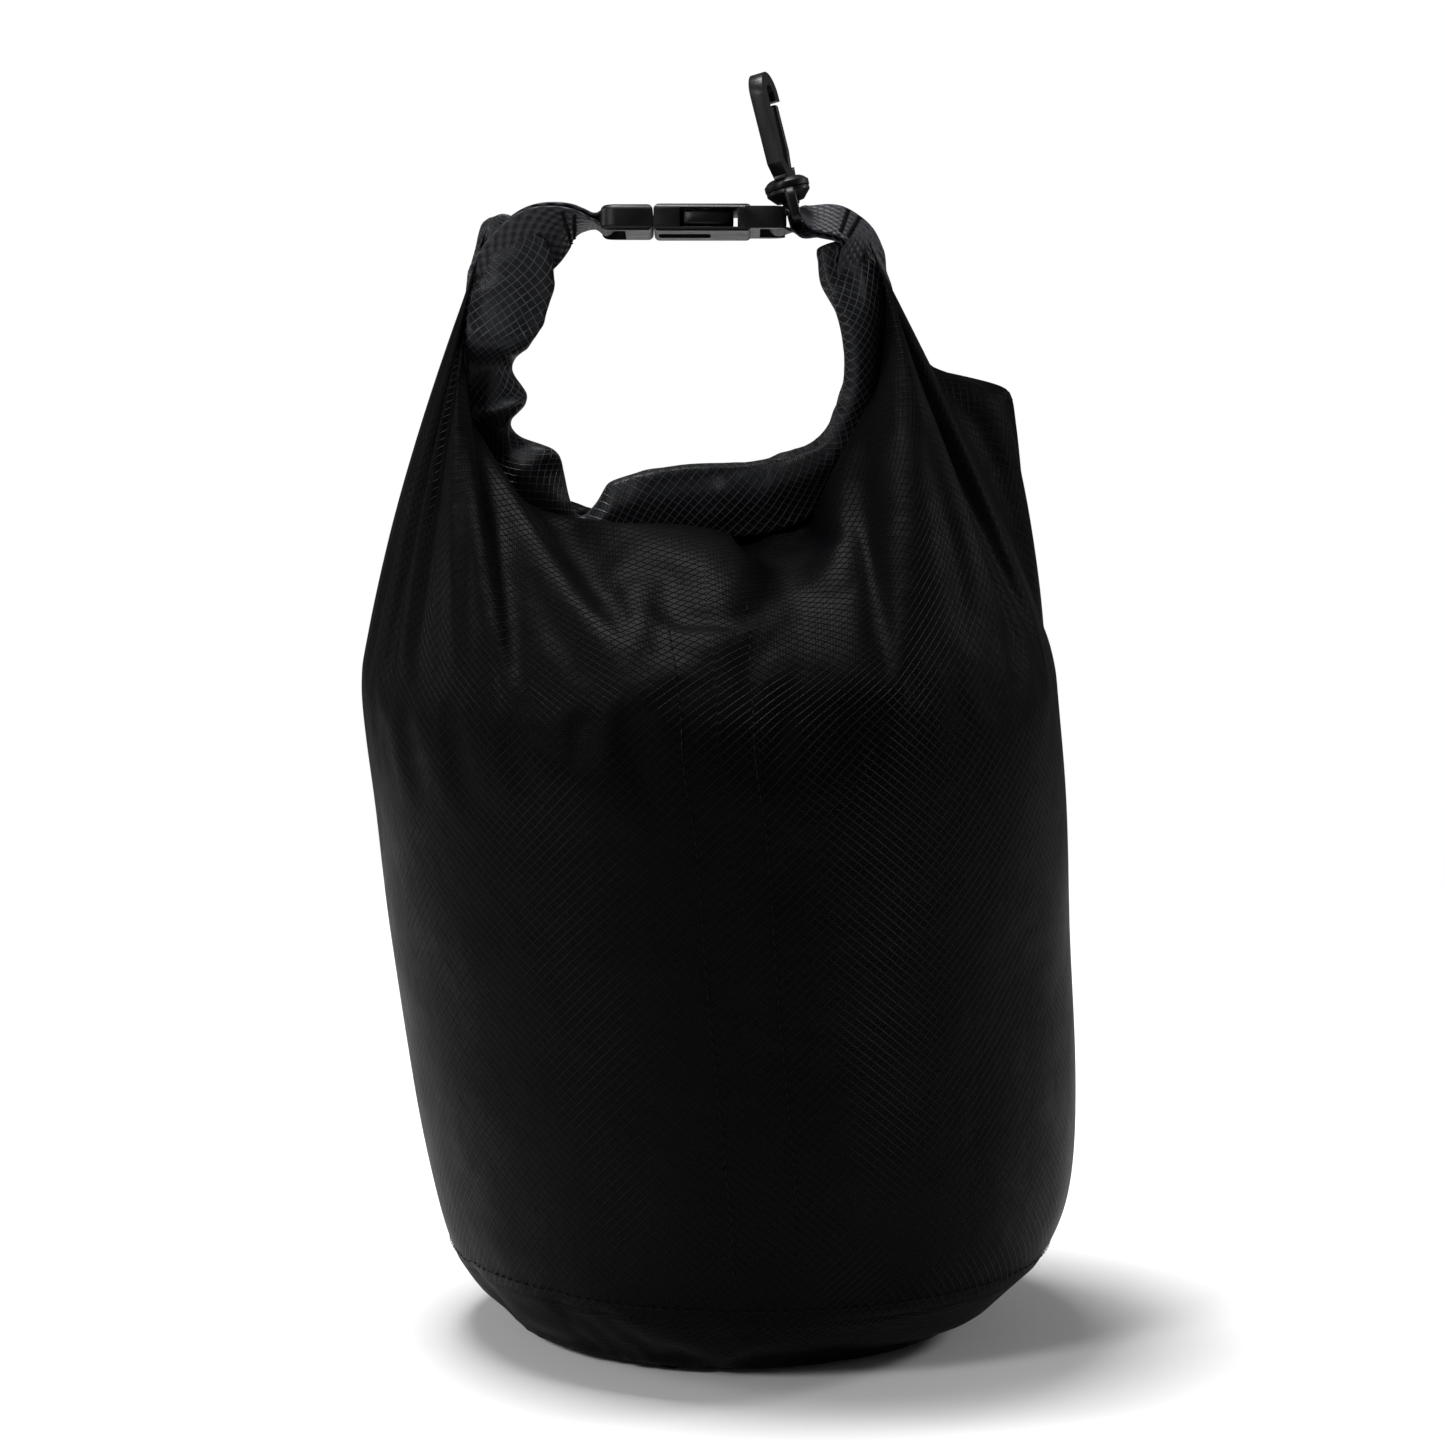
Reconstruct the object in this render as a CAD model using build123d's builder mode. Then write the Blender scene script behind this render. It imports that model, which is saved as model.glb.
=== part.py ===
from build123d import *
import math
import os

# Roll-top storage bag: millimetres, +Z up, +X to the right, -Y to the front.
# The origin is the centre of the base, on the surface that the bag stands on.

# Driving dimensions of the fabric body.
body_radius = 102.5
body_half_depth = 95.0
shoulder_height = 226.0
base_seam_height = 26.0
fabric_wall = 0.6
seam_tape_width = 22.0
seam_tape_wall = 0.4
seam_x = -2.0
thread_width = 0.9
thread_wall = 0.35
sewn_gap = 0.05

# Driving dimensions of the rolled mouth, which bends up into the carrying handle.
roll_width = 24.0
roll_thickness = 13.0
handle_x = -9.5
arm_spacing = 103.0
bridge_rise = 6.0
arm_foot_rise = 38.0
roll_tip_rise = 97.4
right_tip_drop = 6.0
bend_radius = 26.0
rim_rise = 20.0
soft_gap = 0.5
joint_gap = 0.3
mouth_strip_width = 20.0
mouth_strip_wall = 0.8
webbing_width = 20.0
webbing_ply = 1.3

# Driving dimensions of the side release buckle.
buckle_roll = 11.0
buckle_left = -35.5
buckle_split = -20.0
buckle_right = 18.4
buckle_width = 27.0
buckle_thickness = 8.0
bar_rail_thickness = 6.4
bar_length = 4.0
bar_thickness = 3.6
bar_slot = 3.6
buckle_rim = 1.8
throat_width = 23.4
throat_height = 5.0
window_start = -12.3
window_end = 4.4
prong_thickness = 4.4
prong_pivot_inset = 6.2
guide_length = 22.0
slot_start = -18.4
slot_length = 15.0
slot_breadth = 10.0

# Driving dimensions of the swivel hook on the right hand tab.
hook_x = 21.2
hook_lean = 14.0
hook_turn = 71.0
loop_wire = 3.0
loop_above = 6.2
loop_rounding = 0.8
boss_low_radius = 4.1
boss_high_radius = 6.3
post_radius = 1.5
post_clearance = 0.1
collar_radius = 6.5
collar_base = 9.9
collar_top = 13.0
hook_half_width = 5.0
hook_section = 3.8
hook_thickness = 4.2
hook_crown = 44.4
nose_end = 35.8
gate_section = 2.6
gate_pivot_height = 16.4
gate_pivot_side = 3.2
gate_gap = 0.8
pivot_clearance = 0.15

# Sizes that follow from the driving dimensions.
bridge_height = shoulder_height + bridge_rise
arm_foot_height = shoulder_height + arm_foot_rise
roll_tip_height = shoulder_height + roll_tip_rise
rim_height = shoulder_height + rim_rise
left_arm_x = handle_x - arm_spacing / 2
right_arm_x = handle_x + arm_spacing / 2
right_tip_height = roll_tip_height - right_tip_drop
tilt_rise = webbing_width / 2 * math.sin(math.radians(buckle_roll))
buckle_height = roll_tip_height + webbing_ply + tilt_rise + joint_gap + 0.2
tape_clearance = mouth_strip_wall + webbing_ply + 0.8
cavity_width = mouth_strip_width + 2 * soft_gap
depth_share = body_half_depth / body_radius

# Stations of the standing body: share of the shoulder height, lean to the right, share of the radius.
body_stations = [
    (0.0, 2.5, 0.585),
    (0.035, 4.0, 0.68),
    (0.08, 7.0, 0.79),
    (0.125, 9.0, 0.86),
    (0.2, 10.0, 0.915),
    (0.33, 8.0, 0.95),
    (0.55, 3.0, 0.97),
    (0.73, 0.0, 0.985),
    (0.87, -4.0, 1.0),
    (1.0, -1.5, 0.962),
]
shoulder_lean = body_stations[-1][1]
shoulder_radius = body_radius * body_stations[-1][2]

# Directions of the buckle: its length is along X and its flat faces are rolled about it.
roll_sine = math.sin(math.radians(buckle_roll))
roll_cosine = math.cos(math.radians(buckle_roll))
buckle_normal = Vector(0, roll_sine, roll_cosine)
buckle_across = Vector(0, roll_cosine, -roll_sine)
buckle_origin = Vector(0, 0, buckle_height)
buckle_plane = Plane(origin=buckle_origin, x_dir=(1, 0, 0), z_dir=buckle_normal)
strap_plane = Plane(origin=buckle_origin, x_dir=(1, 0, 0), z_dir=buckle_across * -1)

# Directions of the hook: its post leans to the left, and the hook is turned about the post.
lean_sine = math.sin(math.radians(hook_lean))
lean_cosine = math.cos(math.radians(hook_lean))
turn_sine = math.sin(math.radians(hook_turn))
turn_cosine = math.cos(math.radians(hook_turn))
post_axis = Vector(-lean_sine, 0, 0) + buckle_normal * lean_cosine
loop_normal = Vector(lean_cosine, 0, 0) + buckle_normal * lean_sine
hook_side = loop_normal * turn_cosine + buckle_across * turn_sine
hook_pivot = Vector(hook_x, 0, buckle_height)
loop_plane = Plane(origin=hook_pivot, x_dir=buckle_across, z_dir=loop_normal)
post_plane = Plane(origin=hook_pivot, x_dir=hook_side, z_dir=post_axis)
hook_plane = Plane(origin=hook_pivot, x_dir=hook_side, z_dir=hook_side.cross(post_axis))

big = 4 * body_radius


def body_solid(inset):
    """Give the filled shape of the body, drawn in from its outer face by an inset."""
    with BuildPart() as solid:
        for height_share, lean, radius_share in body_stations:
            station = Plane(origin=(lean, 0, height_share * shoulder_height))
            with BuildSketch(station):
                half_width = body_radius * radius_share - inset
                Ellipse(half_width, body_radius * radius_share * depth_share - inset)
        loft()
    return solid.part


def band(outer_inset, inner_inset, low, high):
    """Give a wall that follows the body between two insets and two heights."""
    outer = body_solid(outer_inset)
    inner = body_solid(inner_inset)
    with BuildPart() as wall:
        add(outer)
        add(inner, mode=Mode.SUBTRACT)
        with Locations((0, 0, low)):
            box_align = (Align.CENTER, Align.CENTER, Align.MIN)
            Box(big, big, high - low, align=box_align, mode=Mode.INTERSECT)
    return wall.part


def shoulder_solid(inset, low):
    """Give the filled shape of the shoulders, from the body's top edge to the foot of the handle."""
    front_points = [
        (-1.05 * body_radius, low),
        (-0.95 * body_radius, shoulder_height + 0.137 * roll_tip_rise),
        (-0.8 * body_radius, shoulder_height + 0.594 * roll_tip_rise),
        (left_arm_x - roll_width / 2 - 1.5, roll_tip_height - 22),
        (left_arm_x - roll_width / 2 + 1, roll_tip_height - 22),
        (left_arm_x - roll_width / 2 + 1, arm_foot_height),
        (left_arm_x + roll_width / 2, rim_height),
        (right_arm_x - roll_width / 2, rim_height),
        (right_arm_x + roll_width / 2 - 1, arm_foot_height),
        (right_arm_x + roll_width / 2 - 1, right_tip_height - 10),
        (right_arm_x + roll_width / 2 + 1.5, right_tip_height - 10),
        (0.82 * body_radius, shoulder_height + 0.502 * roll_tip_rise),
        (0.93 * body_radius, shoulder_height + 0.183 * roll_tip_rise),
        (1.05 * body_radius, low),
    ]
    side_points = [
        (-1.05 * body_half_depth, low),
        (-0.8 * body_half_depth, shoulder_height + 0.171 * roll_tip_rise),
        (-0.52 * body_half_depth, shoulder_height + 0.365 * roll_tip_rise),
        (-0.27 * body_half_depth, shoulder_height + 0.594 * roll_tip_rise),
        (-roll_thickness / 2 - 3, roll_tip_height),
        (roll_thickness / 2 + 3, roll_tip_height),
        (0.27 * body_half_depth, shoulder_height + 0.594 * roll_tip_rise),
        (0.52 * body_half_depth, shoulder_height + 0.365 * roll_tip_rise),
        (0.8 * body_half_depth, shoulder_height + 0.171 * roll_tip_rise),
        (1.05 * body_half_depth, low),
    ]
    with BuildPart() as solid:
        with BuildSketch(Plane(origin=(shoulder_lean, 0, low))):
            Ellipse(shoulder_radius - inset, shoulder_radius * depth_share - inset)
        extrude(amount=roll_tip_height - low)
        with BuildSketch(Plane.XZ):
            with BuildLine():
                Polyline(*front_points, close=True)
            make_face()
            if inset > 0:
                offset(amount=-inset, kind=Kind.INTERSECTION)
        extrude(amount=big, both=True, mode=Mode.INTERSECT)
        with BuildSketch(Plane.YZ):
            with BuildLine():
                Polyline(*side_points, close=True)
            make_face()
            if inset > 0:
                offset(amount=-inset, kind=Kind.INTERSECTION)
        extrude(amount=big, both=True, mode=Mode.INTERSECT)
    return solid.part


def handle_strip(width, thickness, left_top, right_top, centre_y):
    """Give a flat strip that follows the U of the rolled mouth between two tip heights."""
    with BuildPart() as strip:
        with BuildSketch(Plane.XZ.offset(-centre_y)):
            with BuildLine():
                FilletPolyline(
                    (left_arm_x, left_top),
                    (left_arm_x, bridge_height),
                    (right_arm_x, bridge_height),
                    (right_arm_x, right_top),
                    radius=bend_radius,
                )
            trace(line_width=width)
        extrude(amount=thickness / 2, both=True)
    return strip.part


def seam_strip(wall, centre_x, width, low, high):
    """Give the front strip of a wall, at one place across the body."""
    with BuildPart() as strip:
        add(wall)
        with Locations((centre_x, 0, low)):
            strip_align = (Align.CENTER, Align.MAX, Align.MIN)
            Box(width, big, high - low, align=strip_align, mode=Mode.INTERSECT)
    return strip.part


os.makedirs("parts", exist_ok=True)

# Base panel: a disc whose edge rises to the seam, flat where it stands.
base_rise = band(0, fabric_wall, 0, base_seam_height)
foot_lean = body_stations[0][1]
foot_radius = body_radius * body_stations[0][2]
with BuildPart() as base_panel:
    add(base_rise)
    with BuildSketch(Plane(origin=(foot_lean, 0, 0))):
        Ellipse(foot_radius, foot_radius * depth_share)
    extrude(amount=fabric_wall)
base_panel.part.label = "base_panel"
export_step(base_panel.part, "parts/base_panel.step")

# Wall panel: the tube of fabric above the base seam.
wall_panel = band(0, fabric_wall, base_seam_height, shoulder_height)
wall_panel.label = "wall_panel"
export_step(wall_panel, "parts/wall_panel.step")

# Seam tapes: welded inside over the base seam and the front seam.
tape_outset = fabric_wall + sewn_gap
tape_half = seam_tape_width / 2
tape_top = base_seam_height + tape_half
base_seam_tape = band(
    tape_outset, tape_outset + seam_tape_wall, base_seam_height - tape_half, tape_top
)
base_seam_tape.label = "base_seam_tape"
export_step(base_seam_tape, "parts/base_seam_tape.step")

tape_wall = band(tape_outset, tape_outset + seam_tape_wall, tape_top + 1, shoulder_height)
wall_seam_tape = seam_strip(tape_wall, seam_x, seam_tape_width, tape_top + 1, shoulder_height - 1)
wall_seam_tape.label = "wall_seam_tape"
export_step(wall_seam_tape, "parts/wall_seam_tape.step")

# Seam threads: one row round the base seam, and two rows up the lapped front seam.
thread_outset = -sewn_gap - thread_wall
base_thread_low = base_seam_height + 3
base_thread_high = base_thread_low + thread_width
base_seam_thread = band(thread_outset, -sewn_gap, base_thread_low, base_thread_high)
base_seam_thread.label = "base_seam_thread"
export_step(base_seam_thread, "parts/base_seam_thread.step")

thread_shell = band(thread_outset, -sewn_gap, base_thread_high + 1, shoulder_height - 1)
left_row = seam_x - tape_half + 1
right_row = seam_x + tape_half - 1
row_low = base_thread_high + 1
row_high = shoulder_height - 1
left_thread = seam_strip(thread_shell, left_row, thread_width, row_low, row_high)
right_thread = seam_strip(thread_shell, right_row, thread_width, row_low, row_high)
with BuildPart() as wall_seam_thread:
    add(left_thread)
    add(right_thread)
wall_seam_thread.part.label = "wall_seam_thread"
export_step(wall_seam_thread.part, "parts/wall_seam_thread.step")

# Shoulder panel: the upper fabric, drawn in from the body to the outer edges of the handle.
shoulder_outer = shoulder_solid(0, shoulder_height)
shoulder_inner = shoulder_solid(fabric_wall, shoulder_height - 5)
trough = handle_strip(
    roll_width + 2 * soft_gap,
    roll_thickness + 2 * soft_gap,
    roll_tip_height,
    roll_tip_height,
    0,
)
trough_lining = handle_strip(
    roll_width + 2 * soft_gap + 2 * fabric_wall,
    roll_thickness + 2 * soft_gap + 2 * fabric_wall,
    roll_tip_height,
    roll_tip_height,
    0,
)
with BuildPart() as shoulder_panel:
    add(shoulder_outer)
    add(trough, mode=Mode.SUBTRACT)
    shoulder_hollow = shoulder_inner - trough_lining
    add(shoulder_hollow, mode=Mode.SUBTRACT)
shoulder_panel.part.label = "shoulder_panel"
export_step(shoulder_panel.part, "parts/shoulder_panel.step")

# Rolled mouth: three turns of fabric, in a left arm, a bridge and a right arm.
roll_corner = roll_thickness * 0.4
cavity_thickness = 2 * tape_clearance


def roll_arm(centre_x, low, high):
    """Give one upright arm of the rolled mouth, hollow where the strips and webbing lie."""
    with BuildPart() as arm:
        with BuildSketch(Plane(origin=(centre_x, 0, low))):
            RectangleRounded(roll_width, roll_thickness, roll_corner)
            Rectangle(cavity_width, cavity_thickness, mode=Mode.SUBTRACT)
        extrude(amount=high - low)
    return arm.part


roll_left_arm = roll_arm(left_arm_x, arm_foot_height + joint_gap, roll_tip_height)
roll_left_arm.label = "roll_left_arm"
export_step(roll_left_arm, "parts/roll_left_arm.step")

roll_right_arm = roll_arm(right_arm_x, arm_foot_height + joint_gap, right_tip_height)
roll_right_arm.label = "roll_right_arm"
export_step(roll_right_arm, "parts/roll_right_arm.step")

bridge_blank = handle_strip(roll_width, roll_thickness, arm_foot_height, arm_foot_height, 0)
bridge_core = handle_strip(cavity_width, cavity_thickness, arm_foot_height, arm_foot_height, 0)
with BuildPart() as roll_bridge:
    add(bridge_blank)
    add(bridge_core, mode=Mode.SUBTRACT)
roll_bridge.part.label = "roll_bridge"
export_step(roll_bridge.part, "parts/roll_bridge.step")

# Mouth strips: the stiff tapes sewn inside the two lips of the mouth, rolled in with it.
strip_y = webbing_ply + 0.3 + mouth_strip_wall / 2
strip_inset = 4.0
for strip_name, side in (("mouth_strip_front", -1), ("mouth_strip_rear", 1)):
    mouth_strip = handle_strip(
        mouth_strip_width,
        mouth_strip_wall,
        roll_tip_height - strip_inset,
        right_tip_height - strip_inset,
        side * strip_y,
    )
    mouth_strip.label = strip_name
    export_step(mouth_strip, f"parts/{strip_name}.step")

# Webbing tabs: doubled round the buckle bars, and sewn between the mouth strips.
eye_clearance = 0.3
left_eye = (buckle_left, buckle_left + bar_length)
right_eye = (buckle_right - bar_length, hook_x + loop_wire / 2 + 0.4)
eye_height = bar_thickness + eye_clearance
tab_depth = 30.0
tab_ply = 2 * webbing_ply
tab_drop = 5.0


def webbing_tab(eye, arm_x, tip_height, end_drop):
    """Give one doubled tab, from its eye round the bar to its sewn end in the roll."""
    eye_x = (eye[0] + eye[1]) / 2
    eye_length = eye[1] - eye[0] + eye_clearance
    loop_height = eye_height + tab_ply
    with BuildPart() as tab:
        with BuildSketch(strap_plane):
            with Locations((eye_x, 0)):
                RectangleRounded(eye_length + tab_ply, loop_height, loop_height * 0.35)
            with BuildLine():
                reach = math.copysign(8, arm_x)
                Polyline((eye_x, 0), (arm_x - reach, 0), (arm_x, -end_drop))
            trace(line_width=tab_ply)
            with Locations((eye_x, 0)):
                Rectangle(eye_length, eye_height, mode=Mode.SUBTRACT)
        extrude(amount=webbing_width / 2, both=True)
        with BuildSketch(Plane(origin=(arm_x, 0, tip_height - tab_depth))):
            Rectangle(webbing_width, tab_ply)
        extrude(amount=buckle_height - end_drop - tip_height + tab_depth)
    return tab.part


webbing_left = webbing_tab(left_eye, left_arm_x, roll_tip_height, 0)
webbing_left.label = "webbing_left"
export_step(webbing_left, "parts/webbing_left.step")

webbing_right = webbing_tab(right_eye, right_arm_x, right_tip_height, tab_drop)
webbing_right.label = "webbing_right"
export_step(webbing_right, "parts/webbing_right.step")

# Bar tacks: dense rows of thread across each doubled tab, on both faces.
tack_wall = 0.5
tack_width = 1.6
tack_pitch = 3.2
for tack_name, tack_x in (
    ("stitching_left", left_arm_x + 15),
    ("stitching_right", right_arm_x - 12.5),
):
    with BuildPart() as stitching:
        for row in range(2):
            for face in (-1, 1):
                tack_height = face * (webbing_ply + tack_wall / 2)
                with BuildSketch(buckle_plane.offset(tack_height)):
                    with Locations((tack_x + (row - 0.5) * tack_pitch, 0)):
                        Rectangle(tack_width, webbing_width - 3)
                extrude(amount=tack_wall / 2, both=True)
    stitching.part.label = tack_name
    export_step(stitching.part, f"parts/{tack_name}.step")

# Buckle, male half: webbing bar, body and centre guide.
male_length = buckle_split - buckle_left
slot_width = webbing_width + 1.4
bar_face = bar_thickness / 2
with BuildPart() as buckle_male:
    with BuildSketch(buckle_plane) as male_outline:
        with Locations((buckle_left + male_length / 2, 0)):
            Rectangle(male_length, buckle_width)
        fillet(male_outline.vertices().group_by(Axis.X)[0], radius=bar_length + 1)
    extrude(amount=buckle_thickness / 2 - 0.2, both=True)
    flat_faces = faces().filter_by(lambda face: abs(face.normal_at().dot(buckle_normal)) > 0.99)
    fillet(flat_faces.edges(), radius=buckle_rim)
    with BuildSketch(buckle_plane):
        with Locations((buckle_left + bar_length + bar_slot / 2, 0)):
            Rectangle(bar_slot, slot_width)
    extrude(amount=buckle_thickness, both=True, mode=Mode.SUBTRACT)
    for face_side in (-1, 1):
        with BuildSketch(buckle_plane.offset(face_side * bar_face)):
            with Locations((buckle_left, 0)):
                Rectangle(2 * bar_length + 1, slot_width)
        extrude(amount=face_side * buckle_thickness, mode=Mode.SUBTRACT)
    with BuildSketch(buckle_plane):
        with Locations((buckle_split + guide_length / 2, 0)):
            Rectangle(guide_length, 5.2)
    extrude(amount=1.5, both=True)
buckle_male.part.label = "buckle_male"
export_step(buckle_male.part, "parts/buckle_male.step")

# Buckle, female half: a flat sleeve with side windows, stepped down to its webbing bar.
female_start = buckle_split + 0.2
step_x = buckle_right - bar_length - bar_slot - 2.4
female_bar_x = buckle_right - bar_length - bar_slot / 2
throat_end = step_x - 1.2
with BuildPart() as buckle_female:
    with BuildSketch(buckle_plane):
        with Locations(((female_start + step_x) / 2, 0)):
            Rectangle(step_x - female_start, buckle_width)
    extrude(amount=buckle_thickness / 2, both=True)
    sleeve_faces = faces().filter_by(lambda face: abs(face.normal_at().dot(buckle_normal)) > 0.99)
    fillet(sleeve_faces.edges(), radius=buckle_rim)
    with BuildSketch(buckle_plane) as bar_outline:
        with Locations(((step_x - 2 + buckle_right) / 2, 0)):
            Rectangle(buckle_right - step_x + 2, buckle_width)
        fillet(bar_outline.vertices().group_by(Axis.X)[-1], radius=bar_length)
    extrude(amount=bar_rail_thickness / 2, both=True)
    with BuildSketch(buckle_plane):
        with Locations((female_bar_x, 0)):
            Rectangle(bar_slot, slot_width)
    extrude(amount=buckle_thickness, both=True, mode=Mode.SUBTRACT)
    for face_side in (-1, 1):
        with BuildSketch(buckle_plane.offset(face_side * bar_face)):
            with Locations((buckle_right, 0)):
                Rectangle(2 * bar_length + 1, slot_width)
        extrude(amount=face_side * buckle_thickness, mode=Mode.SUBTRACT)
    with BuildSketch(buckle_plane):
        with Locations(((female_start - 2 + throat_end) / 2, 0)):
            Rectangle(throat_end - female_start + 2, throat_width)
    extrude(amount=throat_height / 2, both=True, mode=Mode.SUBTRACT)
    with BuildSketch(buckle_plane):
        with Locations(((window_start + window_end) / 2, 0)):
            Rectangle(window_end - window_start, 2 * buckle_width)
    extrude(amount=throat_height / 2 + 0.3, both=True, mode=Mode.SUBTRACT)
    with BuildSketch(buckle_plane):
        with Locations((slot_start + slot_length / 2, 0)):
            RectangleRounded(slot_length, slot_breadth, 1.5)
    extrude(amount=-buckle_thickness, mode=Mode.SUBTRACT)
buckle_female.part.label = "buckle_female"
export_step(buckle_female.part, "parts/buckle_female.step")

# Prongs: the two sprung arms of the male half, whose buttons fill the side windows.
pivot_side = buckle_width / 2 - prong_pivot_inset
prong_root = buckle_split + 0.3
button_low = window_start + 0.8
button_high = window_end - 1.2
button_face = buckle_width / 2 - 0.4
for prong_name, side in (("buckle_prong_front", -1), ("buckle_prong_rear", 1)):
    with BuildPart() as prong:
        with BuildSketch(buckle_plane):
            with BuildLine():
                Polyline(
                    (prong_root, side * (pivot_side - 1.3)),
                    (prong_root, side * (pivot_side + 1.3)),
                    (button_low, side * (pivot_side + 2.6)),
                    (button_low, side * (button_face - 0.9)),
                    (button_low + 3, side * button_face),
                    (button_high - 4, side * (button_face - 0.2)),
                    (button_high, side * (button_face - 2.6)),
                    (button_high, side * (button_face - 5.2)),
                    (button_high - 4, side * (button_face - 4.4)),
                    (button_low + 1, side * (pivot_side + 0.4)),
                    close=True,
                )
            make_face()
        extrude(amount=prong_thickness / 2, both=True)
    prong.part.label = prong_name
    export_step(prong.part, f"parts/{prong_name}.step")

# Hook base: the loop round the upper ply of the tab, with a flared boss for the swivel post.
loop_inner = webbing_width + 1.6
loop_side = 2.4
loop_floor = loop_wire / 2
loop_middle = (loop_floor + loop_above) / 2
boss_top = collar_base - joint_gap
with BuildPart() as hook_swivel_loop:
    with BuildSketch(loop_plane):
        with Locations((0, loop_middle)):
            loop_opening = loop_above - loop_floor
            RectangleRounded(loop_inner + 2 * loop_side, loop_opening + 2 * loop_wire, loop_wire)
            RectangleRounded(loop_inner, loop_opening, 1.0, mode=Mode.SUBTRACT)
    extrude(amount=loop_wire / 2, both=True)
    loop_faces = faces().filter_by(lambda face: abs(face.normal_at().dot(loop_normal)) > 0.99)
    fillet(loop_faces.edges(), radius=loop_rounding)
    with BuildSketch(hook_plane):
        with BuildLine():
            Polyline(
                (0, loop_above),
                (boss_low_radius, loop_above),
                (boss_high_radius, boss_top - 1),
                (boss_high_radius, boss_top),
                (0, boss_top),
                close=True,
            )
        make_face()
    revolve(axis=Axis(hook_pivot, post_axis))
    with BuildSketch(post_plane):
        Circle(post_radius + post_clearance)
    extrude(amount=2 * loop_above + loop_wire, mode=Mode.SUBTRACT)
hook_swivel_loop.part.label = "hook_swivel_loop"
export_step(hook_swivel_loop.part, "parts/hook_swivel_loop.step")

# Hook: the post and its head, a flared collar, and the open hook above it.
head_top = loop_above - post_clearance
head_radius = post_radius + 1.0
spine = hook_half_width
crown_height = hook_crown - hook_section / 2 - spine
gate_root = (gate_pivot_side, gate_pivot_height)
gate_root_radius = gate_section / 2
with BuildPart() as hook_body:
    with BuildSketch(hook_plane):
        with BuildLine():
            Polyline(
                (0, head_top - 1.2),
                (head_radius - 0.5, head_top - 1.2),
                (head_radius, head_top - 0.7),
                (head_radius, head_top),
                (post_radius, head_top),
                (post_radius, collar_base),
                (collar_radius, collar_base),
                (collar_radius, collar_base + 1.6),
                (collar_radius - 1.2, collar_top - 0.4),
                (collar_radius - 2.0, collar_top),
                (0, collar_top),
                close=True,
            )
        make_face()
    revolve(axis=Axis(hook_pivot, post_axis))
    with BuildSketch(hook_plane):
        with BuildLine():
            Polyline((-0.4, collar_top - 1), (-spine, collar_top + 5), (-spine, crown_height))
            ThreePointArc((-spine, crown_height), (0, crown_height + spine), (spine, crown_height))
            Line((spine, crown_height), (spine, nose_end))
        trace(line_width=hook_section)
    extrude(amount=hook_thickness / 2, both=True)
    with BuildSketch(hook_plane):
        with BuildLine():
            Polyline(
                (0.4 - spine, collar_top - 0.6),
                (spine - 0.2, collar_top - 0.6),
                (gate_pivot_side + gate_root_radius + 1.1, gate_pivot_height - 0.2),
                (gate_pivot_side - gate_root_radius - 1.4, gate_pivot_height - 0.6),
                (1.8 - spine, gate_pivot_height + 1.5),
                close=True,
            )
        make_face()
    extrude(amount=hook_thickness / 2 - 0.2, both=True)
    with BuildSketch(hook_plane):
        with Locations(gate_root):
            Circle(gate_root_radius + pivot_clearance)
    extrude(amount=hook_thickness, both=True, mode=Mode.SUBTRACT)
hook_body.part.label = "hook_body"
export_step(hook_body.part, "parts/hook_body.step")

# Gate: the sprung tongue that closes the hook.
gate_top = nose_end - gate_gap
with BuildPart() as hook_gate:
    with BuildSketch(hook_plane):
        with Locations(gate_root):
            Circle(gate_root_radius)
        with BuildLine():
            Polyline(gate_root, (spine - 0.2, gate_pivot_height + 5), (spine - 0.2, gate_top))
        trace(line_width=gate_section)
    extrude(amount=hook_thickness / 2 - 0.5, both=True)
hook_gate.part.label = "hook_gate"
export_step(hook_gate.part, "parts/hook_gate.step")
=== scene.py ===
import logging
import math
from collections.abc import Callable
from dataclasses import dataclass, field
from enum import Enum

import bmesh
import bpy
from mathutils import Matrix, Vector, noise
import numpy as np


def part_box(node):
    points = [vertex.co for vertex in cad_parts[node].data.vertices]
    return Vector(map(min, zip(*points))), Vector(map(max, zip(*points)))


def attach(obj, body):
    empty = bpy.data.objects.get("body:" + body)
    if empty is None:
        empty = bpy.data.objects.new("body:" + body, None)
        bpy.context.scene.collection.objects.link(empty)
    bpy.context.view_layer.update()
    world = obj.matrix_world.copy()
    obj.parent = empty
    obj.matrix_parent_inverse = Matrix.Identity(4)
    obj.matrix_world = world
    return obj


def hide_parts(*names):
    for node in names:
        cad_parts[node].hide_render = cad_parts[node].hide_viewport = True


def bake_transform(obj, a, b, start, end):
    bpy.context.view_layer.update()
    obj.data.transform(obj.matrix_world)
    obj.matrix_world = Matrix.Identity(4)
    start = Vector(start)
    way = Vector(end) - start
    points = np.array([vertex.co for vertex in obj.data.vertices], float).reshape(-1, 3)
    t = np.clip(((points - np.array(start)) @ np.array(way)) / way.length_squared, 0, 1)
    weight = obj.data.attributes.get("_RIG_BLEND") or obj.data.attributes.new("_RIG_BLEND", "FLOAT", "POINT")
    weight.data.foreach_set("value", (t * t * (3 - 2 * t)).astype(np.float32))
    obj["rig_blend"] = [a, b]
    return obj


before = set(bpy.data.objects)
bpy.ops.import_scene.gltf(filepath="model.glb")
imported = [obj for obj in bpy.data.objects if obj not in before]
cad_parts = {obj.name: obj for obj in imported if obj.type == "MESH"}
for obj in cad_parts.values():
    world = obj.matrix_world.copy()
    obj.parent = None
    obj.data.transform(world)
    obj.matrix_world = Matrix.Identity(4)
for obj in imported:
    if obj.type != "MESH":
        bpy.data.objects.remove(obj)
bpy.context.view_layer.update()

MM = 0.001
LOG = logging.getLogger("storage_bag")


class Side(Enum):
    """A side of the handle, named as seen from the front."""

    LEFT = -1
    RIGHT = 1


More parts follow.
